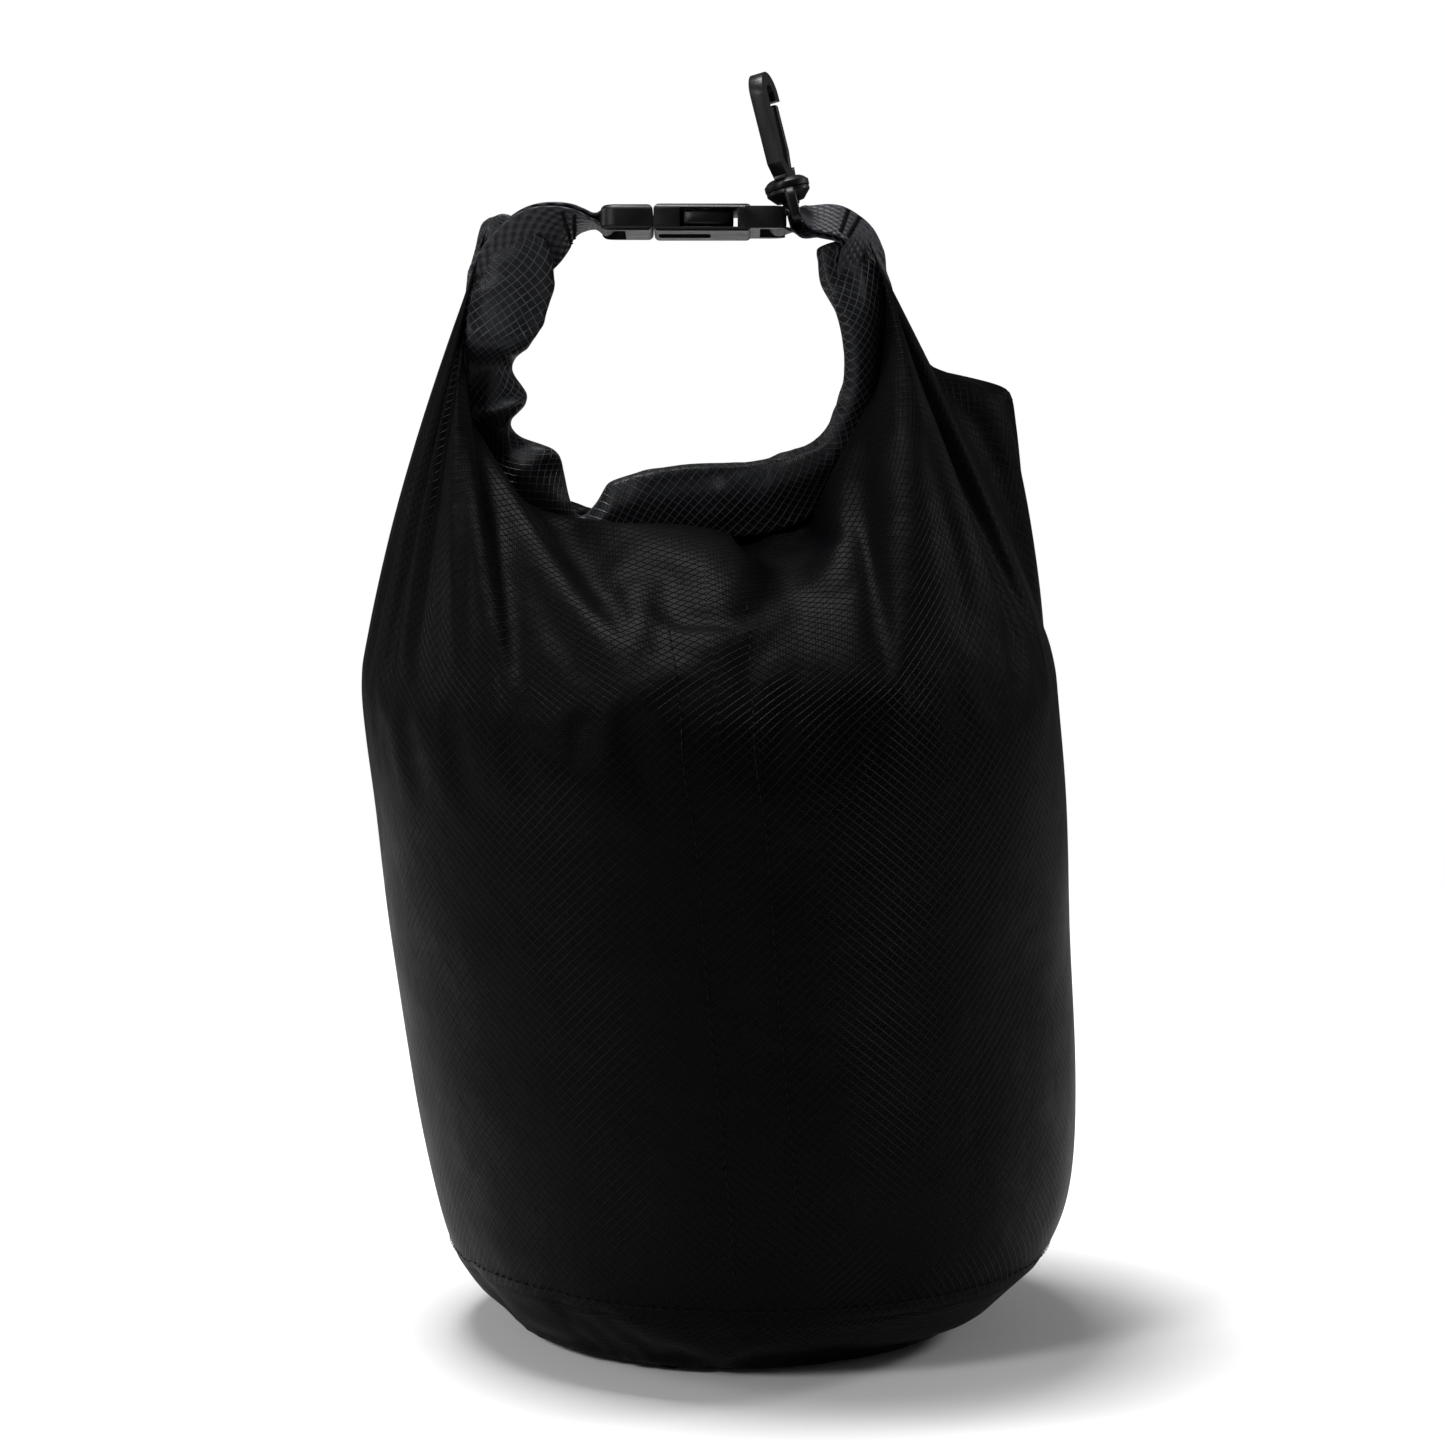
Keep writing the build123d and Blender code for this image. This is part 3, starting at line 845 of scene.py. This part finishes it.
    def stitches(self, name: str, line: list[tuple[Vector, Vector]]) -> bpy.types.Object:
        """Lay a row of stitches along a line on the fabric.

        Args:
            name: The piece's name.
            line: Points with their outward normals; a gap longer than 20 mm starts a new row.

        Returns:
            The piece, one small bead of thread for each stitch.
        """
        bm = bmesh.new()
        left_over = 0.0
        for (here, normal), (ahead, _) in zip(line, line[1:]):
            step = ahead - here
            if step.length > 0.02 or step.length < 1e-6:
                left_over = 0.0
                continue
            along = step.normalized()
            side = along.cross(normal).normalized()
            frame_of = Matrix((along, side, along.cross(side))).transposed().to_4x4()
            place = left_over
            while place < step.length:
                centre = here + along * place + normal * 0.00018
                shape = Matrix.Diagonal((self.stitch_pitch * 0.42, 0.00030, 0.00022, 1.0))
                bmesh.ops.create_icosphere(
                    bm,
                    subdivisions=1,
                    radius=1.0,
                    matrix=Matrix.Translation(centre) @ frame_of @ shape,
                )
                place += self.stitch_pitch
            left_over = place - step.length
        return link(name, bm)

    def seam_rows(self, settled: bpy.types.Mesh) -> tuple[bpy.types.Object, bpy.types.Object]:
        """Sew the two rows up the front seam and the row round the base seam.

        Args:
            settled: The whole settled fabric.

        Returns:
            The front seam's thread and the base seam's thread.
        """
        data = settled.attributes
        grid = {}
        for index, vert in enumerate(settled.vertices):
            if data["ring"].data[index].value == 0:
                place = (data["column"].data[index].value, data["row"].data[index].value)
                grid[place] = (vert.co.copy(), vert.normal.copy())
        pitch = self.circumference / self.columns
        offset = (self.tape_width / 2 - 0.001) / pitch
        front = []
        for side in (-1, 1):
            low = math.floor(side * offset)
            share = side * offset - low
            for row in range(18, self.rows - 3):
                first, second = (grid[(column % self.columns, row)] for column in (low, low + 1))
                front.append((first[0].lerp(second[0], share), first[1].lerp(second[1], share)))
        bottom = [
            grid[(column % self.columns, self.rows - 1)] for column in range(self.columns + 1)
        ]
        return self.stitches("front_seam_stitches", front), self.stitches("base_seam_stitches", bottom)


@dataclass
class Station:
    """One place along a swept piece: its centre, the way it is wide and the way it faces."""

    centre: Vector
    across: Vector
    facing: Vector
    width: float
    thickness: float


def flat_section(count: int, fullness: float, ridge: float) -> list[tuple[float, float]]:
    """Give a rounded flat outline of unit width and thickness.

    Args:
        count: How many points it has.
        fullness: 1 for an ellipse, and larger for squarer ends.
        ridge: How much of the thickness gathers in a ridge along the front, off the middle.

    Returns:
        Points as shares of the half width and the half thickness.
    """
    points = []
    for k in range(count):
        angle = 2 * math.pi * k / count
        cosine, sine = math.cos(angle), math.sin(angle)
        wide = math.copysign(abs(cosine) ** (1 / fullness), cosine)
        peak = 1 - ridge * min(1.0, abs(wide - 0.3) * 1.1) if sine > 0 else 1.0
        points.append((wide, math.copysign(abs(sine) ** (1 / fullness), sine) * peak))
    return points


def sweep(
    name: str, stations: list[Station], count: int, fullness: float, ridge: float = 0.0
) -> bpy.types.Object:
    """Sweep a rounded flat section through stations, with closed ends and a map in metres.

    Args:
        name: The piece's name.
        stations: The places that the section passes through.
        count: Points round the section.
        fullness: How square the section is.
        ridge: How sharp a ridge runs along its front.

    Returns:
        The new piece, with a UV map of metres round and along it.
    """
    bm = bmesh.new()
    section = flat_section(count, fullness, ridge)
    ring_layer = bm.verts.layers.int.new("ring")
    turn_layer = bm.verts.layers.int.new("turn")
    made = bmesh.ops.create_circle(bm, segments=count, radius=1.0)
    for turn, vert in enumerate(made["verts"]):
        vert[turn_layer] = turn
    edges = list(bm.edges)
    first_edges = list(edges)
    for ring in range(1, len(stations)):
        grown = bmesh.ops.extrude_edge_only(bm, edges=edges)["geom"]
        for vert in (item for item in grown if isinstance(item, bmesh.types.BMVert)):
            vert[ring_layer] = ring
        edges = [e for e in grown if isinstance(e, bmesh.types.BMEdge) and e.is_boundary]
    for vert in bm.verts:
        place = stations[vert[ring_layer]]
        wide, thick = section[vert[turn_layer]]
        vert.co = (
            place.centre
            + place.across * (wide * place.width / 2)
            + place.facing * (thick * place.thickness / 2)
        )
    along = [0.0]
    for low, high in zip(stations, stations[1:]):
        along.append(along[-1] + (high.centre - low.centre).length)
    widest = max(stations, key=lambda place: place.width)
    girth = [0.0]
    for k in range(count):
        here, ahead = section[k], section[(k + 1) % count]
        across = (ahead[0] - here[0]) * widest.width / 2
        deep = (ahead[1] - here[1]) * widest.thickness / 2
        girth.append(girth[-1] + math.hypot(across, deep))
    uv_layer = bm.loops.layers.uv.new("cloth")
    for face in bm.faces:
        turns = [loop.vert[turn_layer] for loop in face.loops]
        wraps = max(turns) - min(turns) > 1
        for loop in face.loops:
            turn = loop.vert[turn_layer]
            turn = count if wraps and turn == 0 else turn
            loop[uv_layer].uv = (girth[turn], along[loop.vert[ring_layer]])
    for rim in (first_edges, edges):
        cap = bmesh.ops.contextual_create(bm, geom=rim)["faces"]
        bmesh.ops.poke(bm, faces=cap)
    bmesh.ops.recalc_face_normals(bm, faces=bm.faces)
    return link(name, bm)


@dataclass
class MouthRoll:
    """The rolled mouth, from its left tip down, across under the handle and up to its right tip.

    Each station gives a share of the length, the centre, the width, the thickness and the turn in degrees.
    """

    turns: int = 40
    rings: int = 150
    rest_growth: float = 1.02
    look_ahead: float = 0.055
    wrinkle: float = 0.0016
    wrinkle_scale: float = 62.0
    sim_scale: float = 10.0
    frames: int = 24
    stations: list[tuple[float, ...]] = field(
        default_factory=lambda: [
            (0.000, -0.0665, 0.0000, 0.3290, 0.0070, 0.0030, 8),
            (0.025, -0.0625, -0.0005, 0.3225, 0.0205, 0.0055, 12),
            (0.075, -0.0612, -0.0010, 0.3130, 0.0260, 0.0070, 6),
            (0.125, -0.0628, -0.0020, 0.3020, 0.0240, 0.0080, -2),
            (0.170, -0.0655, -0.0020, 0.2925, 0.0195, 0.0085, -10),
            (0.200, -0.0678, 0.0030, 0.2850, 0.0140, 0.0060, -16),
            (0.225, -0.0658, 0.0010, 0.2785, 0.0180, 0.0080, 8),
            (0.250, -0.0655, -0.0025, 0.2725, 0.0170, 0.0095, 4),
            (0.278, -0.0668, 0.0025, 0.2660, 0.0115, 0.0065, 18),
            (0.315, -0.0600, -0.0030, 0.2570, 0.0235, 0.0095, 12),
            (0.350, -0.0548, -0.0020, 0.2480, 0.0240, 0.0110, -12),
            (0.390, -0.0440, 0.0005, 0.2330, 0.0180, 0.0110, -8),
            (0.430, -0.0310, 0.0010, 0.2410, 0.0215, 0.0115, 4),
            (0.500, -0.0120, 0.0015, 0.2455, 0.0225, 0.0115, 6),
            (0.580, 0.0120, 0.0015, 0.2470, 0.0225, 0.0110, 8),
            (0.650, 0.0275, 0.0010, 0.2535, 0.0200, 0.0100, 22),
            (0.715, 0.0365, 0.0000, 0.2630, 0.0185, 0.0100, 42),
            (0.775, 0.0410, -0.0005, 0.2765, 0.0195, 0.0095, 60),
            (0.835, 0.0425, -0.0010, 0.2905, 0.0215, 0.0095, 58),
            (0.895, 0.0415, -0.0015, 0.3035, 0.0230, 0.0095, 48),
            (0.945, 0.0375, -0.0010, 0.3130, 0.0225, 0.0090, 36),
            (1.000, 0.0345, 0.0000, 0.3225, 0.0165, 0.0065, 28),
        ]
    )

    def places(self) -> list[Station]:
        """Work out the stations of the sweep."""
        result = []
        for ring in range(self.rings):
            share = ring / (self.rings - 1)
            x, y, z, width, thickness, turn = curve_at(self.stations, share)
            ahead = Vector(curve_at(self.stations, min(1.0, share + self.look_ahead))[:3])
            behind = Vector(curve_at(self.stations, max(0.0, share - self.look_ahead))[:3])
            along = (ahead - behind).normalized()
            sideways = along.cross(Vector((0, 1, 0))).normalized()
            across = Matrix.Rotation(math.radians(turn), 3, along) @ sideways
            result.append(Station(Vector((x, y, z)), across, along.cross(across), width, thickness))
        return result

    def build(self) -> bpy.types.Object:
        """Shape the roll, then let its cloth pucker where it is bent and squeezed."""
        roll = sweep("mouth_roll", self.places(), self.turns, 1.7, 0.42)
        roll.data.transform(Matrix.Scale(self.sim_scale, 4))
        roll.shape_key_add(name="start")
        cut = roll.shape_key_add(name="cut")
        rings = roll.data.attributes["ring"].data
        middle = Vector((-0.1, 0, 2.8))
        pinned = roll.vertex_groups.new(name="pinned")
        held = []
        for index, point in enumerate(cut.data):
            point.co = middle + (point.co - middle) * self.rest_growth
            if rings[index].value % 30 == 0 or rings[index].value >= self.rings - 2:
                held.append(index)
        pinned.add(held, 1.0, "REPLACE")
        modifier = roll.modifiers.new("cloth", "CLOTH")
        settings = modifier.settings
        settings.quality = 5
        settings.mass = 0.1
        settings.tension_stiffness = 40
        settings.compression_stiffness = 40
        settings.shear_stiffness = 10
        settings.bending_stiffness = 0.15
        settings.air_damping = 3
        settings.effector_weights.gravity = 0.2
        settings.vertex_group_mass = "pinned"
        settings.rest_shape_key = roll.data.shape_keys.key_blocks["cut"]
        scene = bpy.context.scene
        for number in range(1, self.frames + 1):
            scene.frame_set(number)
        depsgraph = bpy.context.evaluated_depsgraph_get()
        settled = bpy.data.meshes.new_from_object(roll.evaluated_get(depsgraph))
        scene.frame_set(1)
        bpy.data.objects.remove(roll)
        settled.transform(Matrix.Scale(1 / self.sim_scale, 4))
        shifts = []
        for vert in settled.vertices:
            place = vert.co * self.wrinkle_scale
            ridge = noise.ridged_multi_fractal(place, 1.0, 2.1, 3, 0.9, 1.6)
            shifts.append(vert.normal * (self.wrinkle * (min(max(ridge, 0.85), 2.0) - 1.1)))
        for vert, shift in zip(settled.vertices, shifts):
            vert.co += shift
        piece = bpy.data.objects.new("mouth_roll", settled)
        scene.collection.objects.link(piece)
        finer = piece.modifiers.new("finer", "SUBSURF")
        finer.levels = finer.render_levels = 1
        return piece

    def strip(self, name: str, offset: float) -> bpy.types.Object:
        """Lay one of the stiff strips inside the roll.

        Args:
            name: The piece's name.
            offset: How far in front of the roll's middle the strip lies.

        Returns:
            The strip.
        """
        margin = 6
        inner = [
            Station(
                place.centre + place.facing * offset,
                place.across,
                place.facing,
                place.width * 0.60,
                0.0008,
            )
            for place in self.places()[margin:-margin]
        ]
        return sweep(name, inner, 12, 2.4)


@dataclass
class WebbingTab:
    """A doubled tab of webbing: out of the roll, round a bar of the buckle and back into the roll.

    The path runs from the roll to the bar. Each station gives the centre and the way the tab is wide.
    """

    side: Side
    path: list[tuple[Vector, Vector]]
    eye_start: float = 0.86
    eye_end: float = 1.0
    width: float = 0.020
    ply: float = 0.0013
    bar_turn: float = 0.0026
    spread: float = 0.00085
    tack_share: float = 0.5

    def places(self) -> list[Station]:
        """Work out the stations along one ply, round the bar and back along the other."""
        steps = 34
        stations = [
            (k / (len(self.path) - 1), *centre, *across)
            for k, (centre, across) in enumerate(self.path)
        ]
        lower: list[Station] = []
        upper: list[Station] = []
        for step in range(steps):
            share = step / (steps - 1)
            values = curve_at(stations, share)
            ahead = Vector(curve_at(stations, min(1.0, share + 0.01))[:3])
            behind = Vector(curve_at(stations, max(0.0, share - 0.01))[:3])
            along = (ahead - behind).normalized()
            across = Vector(values[3:])
            across = (across - along * across.dot(along)).normalized()
            facing = along.cross(across)
            opened = (share - self.eye_start) / (self.eye_end - self.eye_start)
            gap = mix(self.spread, self.bar_turn, smooth(opened))
            centre = Vector(values[:3])
            lower.append(Station(centre + facing * gap, across, facing, self.width, self.ply))
            upper.append(Station(centre - facing * gap, across, -facing, self.width, self.ply))
        final = lower[-1]
        outward = (lower[-1].centre - lower[-2].centre).normalized()
        middle = (lower[-1].centre + upper[-1].centre) / 2
        reach = (final.centre - middle).length
        bend = []
        for step in range(1, 10):
            angle = math.pi * step / 10
            facing = final.facing * math.cos(angle) + outward * math.sin(angle)
            bend.append(Station(middle + facing * reach, final.across, facing, self.width, self.ply))
        return lower + bend + list(reversed(upper))

    def build(self) -> bpy.types.Object:
        """Sweep the webbing."""
        tab = sweep(f"webbing_tab_{self.side.name.lower()}", self.places(), 20, 2.6)
        finer = tab.modifiers.new("finer", "SUBSURF")
        finer.levels = finer.render_levels = 1
        return tab

    def tacks(self) -> bpy.types.Object:
        """Sew the bar tacks: two dense rows of stitches across the tab, on both faces."""
        places = self.places()
        ply_steps = 34
        bm = bmesh.new()
        stitches = 17
        for ply in (0, 1):
            for row in (0, 1):
                index = round(self.tack_share * ply_steps) + row * 2
                if ply:
                    index = len(places) - 1 - index
                place = places[index]
                along = place.across.cross(place.facing)
                turned = Matrix((place.across, along, place.facing)).transposed().to_4x4()
                for step in range(stitches):
                    shift = ((step + 0.5) / stitches - 0.5) * (self.width - 0.003)
                    centre = place.centre + place.across * shift + place.facing * (self.ply / 2)
                    shape = Matrix.Diagonal((0.00036, 0.0009, 0.00028, 1.0))
                    bmesh.ops.create_icosphere(
                        bm,
                        subdivisions=1,
                        radius=1.0,
                        matrix=Matrix.Translation(centre) @ turned @ shape,
                    )
        return link(f"bar_tacks_{self.side.name.lower()}", bm)


@dataclass(frozen=True)
class Softbox:
    """A square studio light that points at the bag."""

    name: str
    place: tuple[float, float, float]
    size: float
    power: float

    def hang(self) -> None:
        """Put the light in the scene."""
        light = bpy.data.lights.new(self.name, "AREA")
        light.size, light.energy = self.size, self.power
        lamp = bpy.data.objects.new(self.name, light)
        bpy.context.scene.collection.objects.link(lamp)
        lamp.location = self.place
        aim = Vector((0, 0, 0.2)) - Vector(self.place)
        lamp.rotation_euler = aim.to_track_quat("-Z", "Y").to_euler()


@dataclass(frozen=True)
class Studio:
    """A pale round floor, soft light, and the camera."""

    elevation: float = math.radians(9.5)
    distance: float = 1.6
    seen_width: float = 0.4238
    target: tuple[float, float, float] = (0.0, 0.0, 0.1806)
    ambient: float = 0.12
    floor_radius: float = 0.72
    backdrop: float = 1.0
    boxes: tuple[Softbox, ...] = (
        Softbox("overhead", (-0.20, 0.10, 1.35), 0.45, 24),
        Softbox("left_front", (-1.00, -1.10, 0.90), 0.35, 10),
        Softbox("left_side", (-1.50, 0.25, 0.60), 0.50, 6),
        Softbox("right_side", (1.40, 0.35, 0.80), 0.35, 6),
    )

    def build(self) -> None:
        """Set up the world, the floor, the lights and the camera."""
        scene = bpy.context.scene
        scene.view_settings.view_transform = "Standard"
        scene.world = bpy.data.worlds.new("studio")
        scene.world.use_nodes = True
        tree = scene.world.node_tree
        seen = add_node(tree, "ShaderNodeLightPath")
        strength = add_node(
            tree,
            "ShaderNodeMapRange",
            s0=seen.outputs["Is Camera Ray"],
            s3=self.ambient,
            s4=self.backdrop,
        )
        background = tree.nodes["Background"]
        background.inputs["Color"].default_value = (1, 1, 1, 1)
        tree.links.new(strength.outputs[0], background.inputs["Strength"])
        bm = bmesh.new()
        bmesh.ops.create_circle(bm, cap_ends=True, segments=96, radius=self.floor_radius)
        floor = link("floor", bm)
        material, tree, shader = blank_material("pale_floor")
        shader.inputs["Base Color"].default_value = srgb("#FAFAFA")
        shader.inputs["Roughness"].default_value = 0.9
        dress(floor, material)
        for box in self.boxes:
            box.hang()
        camera = bpy.data.objects.new("camera", bpy.data.cameras.new("camera"))
        scene.collection.objects.link(camera)
        camera.data.lens = camera.data.sensor_width * self.distance / self.seen_width
        back = Vector((0, -math.cos(self.elevation), math.sin(self.elevation)))
        camera.location = Vector(self.target) + back * self.distance
        camera.rotation_euler = (math.pi / 2 - self.elevation, 0, 0)
        scene.camera = camera


@dataclass(frozen=True)
class Moulding:
    """A plastic part moulded over a CAD node's shape, with its hard edges eased."""

    node: str
    name: str
    body: str
    slot: str
    easing: float

    def build(self) -> bpy.types.Object:
        """Copy the node's shape, join its triangles and round its edges.

        Returns:
            The new piece.
        """
        bm = bmesh.new()
        bm.from_mesh(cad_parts[self.node].data)
        bmesh.ops.remove_doubles(bm, verts=bm.verts, dist=0.000002)
        bmesh.ops.dissolve_limit(
            bm, angle_limit=math.radians(1.0), verts=bm.verts, edges=bm.edges, delimit={"NORMAL"}
        )
        piece = link(self.name, bm)
        eased = piece.modifiers.new("eased", "BEVEL")
        eased.width = self.easing
        eased.segments = 3
        eased.limit_method = "ANGLE"
        eased.angle_limit = math.radians(32)
        eased.harden_normals = True
        return piece


@dataclass
class StorageBag:
    """The whole bag: its cloth, its rolled mouth, its tabs and its hardware."""

    ripstop: bpy.types.Material
    webbing: bpy.types.Material
    thread: bpy.types.Material
    tape: bpy.types.Material
    strip: bpy.types.Material
    rolled: bpy.types.Material

    def finish(
        self,
        piece: bpy.types.Object,
        material: bpy.types.Material,
        slot: str,
        *nodes: str,
    ) -> bpy.types.Object:
        """Dress a piece, hide the CAD nodes that it stands for and say which they are.

        Args:
            piece: The piece.
            material: Its material.
            slot: The name of a material slot; not used.
            nodes: The CAD nodes that it replaces.

        Returns:
            The same piece.
        """
        dress(piece, material)
        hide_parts(*nodes)
        LOG.info("%s stands for %s", piece.name, ", ".join(nodes))
        return piece

    def cloth(self) -> None:
        """Make the fabric body, its seam tapes and its seam stitches."""
        maker = BagCloth(BodyShape(), MouthLine())
        settled = maker.settle()
        made = maker.pieces(settled)
        front_rows, base_row = maker.seam_rows(settled)
        wall = self.finish(made["bag_wall"], self.ripstop, "shell_fabric", "wall_panel", "shoulder_panel")
        base = self.finish(made["bag_base"], self.ripstop, "shell_fabric", "base_panel")
        front_tape = self.finish(made["front_seam_tape"], self.tape, "seam_tape", "wall_seam_tape")
        base_tape = self.finish(made["bottom_seam_tape"], self.tape, "seam_tape", "base_seam_tape")
        self.finish(front_rows, self.thread, "sewing_thread", "wall_seam_thread")
        self.finish(base_row, self.thread, "sewing_thread", "base_seam_thread")
        for piece in (base, front_tape, base_tape, front_rows, base_row):
            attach(piece, "bag")
        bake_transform(wall, "bag", "left_end", (-0.010, 0, 0.230), (-0.075, 0, 0.290))

    def rolled_mouth(self) -> None:
        """Make the rolled mouth and the two stiff strips in it."""
        maker = MouthRoll()
        # The roll wears the lit copy of the ripstop, whose lighter colours are painted highlight.
        roll = self.finish(
            maker.build(), self.rolled, "shell_fabric", "roll_bridge", "roll_left_arm", "roll_right_arm"
        )
        front = self.finish(
            maker.strip("front_strip", 0.0007), self.strip, "mouth_strip", "mouth_strip_front"
        )
        rear = self.finish(
            maker.strip("rear_strip", -0.0007), self.strip, "mouth_strip", "mouth_strip_rear"
        )
        for piece in (roll, front, rear):
            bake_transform(piece, "bag", "left_end", (-0.020, 0, 0.235), (-0.065, 0, 0.270))

    def tabs(self) -> None:
        """Make the two doubled webbing tabs and their bar tacks."""
        low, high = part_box("buckle_female")
        height = (low[2] + high[2]) / 2
        flat = Vector((0, 0.982, -0.191))
        left = WebbingTab(
            Side.LEFT,
            [
                (Vector((-0.0655, -0.0005, 0.3080)), Vector((0.80, 0, -0.60))),
                (Vector((-0.0600, -0.0010, 0.3160)), Vector((0.78, 0, -0.62))),
                (Vector((-0.0535, -0.0015, 0.3225)), Vector((0.70, 0.25, -0.62))),
                (Vector((-0.0455, -0.0010, 0.3265)), Vector((0.40, 0.72, -0.48))),
                (Vector((-0.0385, 0.0, height + 0.0003)), Vector((0.05, 0.975, -0.22))),
                (Vector((-0.0335, 0.0, height)), flat),
            ],
            tack_share=0.60,
        )
        right = WebbingTab(
            Side.RIGHT,
            [
                (Vector((0.0398, 0.0005, 0.3080)), Vector((0.72, 0.66, 0.20))),
                (Vector((0.0396, 0.0000, 0.3125)), Vector((0.72, 0.66, 0.10))),
                (Vector((0.0396, -0.0003, 0.3178)), Vector((0.66, 0.74, 0.0))),
                (Vector((0.0385, 0.0, 0.3232)), Vector((0.42, 0.86, 0.10))),
                (Vector((0.0340, 0.0, 0.3266)), Vector((0.12, 0.93, 0.34))),
                (Vector((0.0285, 0.0, 0.3274)), Vector((0.0, 0.945, 0.32))),
                (Vector((0.0242, 0.0, 0.3272)), Vector((0.0, 0.975, 0.20))),
                (Vector((0.0205, 0.0, height + 0.0003)), Vector((0.0, 0.99, -0.06))),
                (Vector((0.0164, 0.0, height)), flat),
            ],
            eye_start=0.66,
            eye_end=0.82,
            tack_share=0.40,
        )
        for tab, body, name in ((left, "left_end", "left"), (right, "bag", "right")):
            strap = self.finish(tab.build(), self.webbing, "webbing", f"webbing_{name}")
            tacks = self.finish(tab.tacks(), self.thread, "sewing_thread", f"stitching_{name}")
            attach(strap, body)
            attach(tacks, body)

    def hardware(self) -> None:
        """Mould the buckle and the hook with eased edges over their CAD shapes."""
        buckle_plastic = BUCKLE_ACETAL.build()
        hook_plastic = HOOK_ACETAL.build()
        mouldings = (
            Moulding("buckle_male", "male_half", "left_end", "buckle_plastic", 0.0005),
            Moulding("buckle_female", "female_half", "bag", "buckle_plastic", 0.0005),
            Moulding("buckle_prong_front", "front_prong", "prong_front", "buckle_plastic", 0.0009),
            Moulding("buckle_prong_rear", "rear_prong", "prong_rear", "buckle_plastic", 0.0009),
            Moulding("hook_swivel_loop", "swivel_loop", "hook_base", "hook_plastic", 0.0004),
            Moulding("hook_body", "snap_hook", "hook", "hook_plastic", 0.0011),
            Moulding("hook_gate", "snap_gate", "gate", "hook_plastic", 0.0007),
        )
        for moulding in mouldings:
            plastic = hook_plastic if moulding.slot == "hook_plastic" else buckle_plastic
            piece = self.finish(moulding.build(), plastic, moulding.slot, moulding.node)
            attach(piece, moulding.body)


def main() -> None:
    """Build the studio and the bag."""
    logging.basicConfig(level=logging.INFO)
    Studio().build()
    bag = StorageBag(
        RipstopFinish().build(),
        WebbingFinish().build(),
        SPUN_THREAD.build(),
        TAPE_RUBBER.build(),
        STRIP_RUBBER.build(),
        ROLLED_RIPSTOP.build(),
    )
    bag.cloth()
    bag.rolled_mouth()
    bag.tabs()
    bag.hardware()


if __name__ == "__main__":
    main()
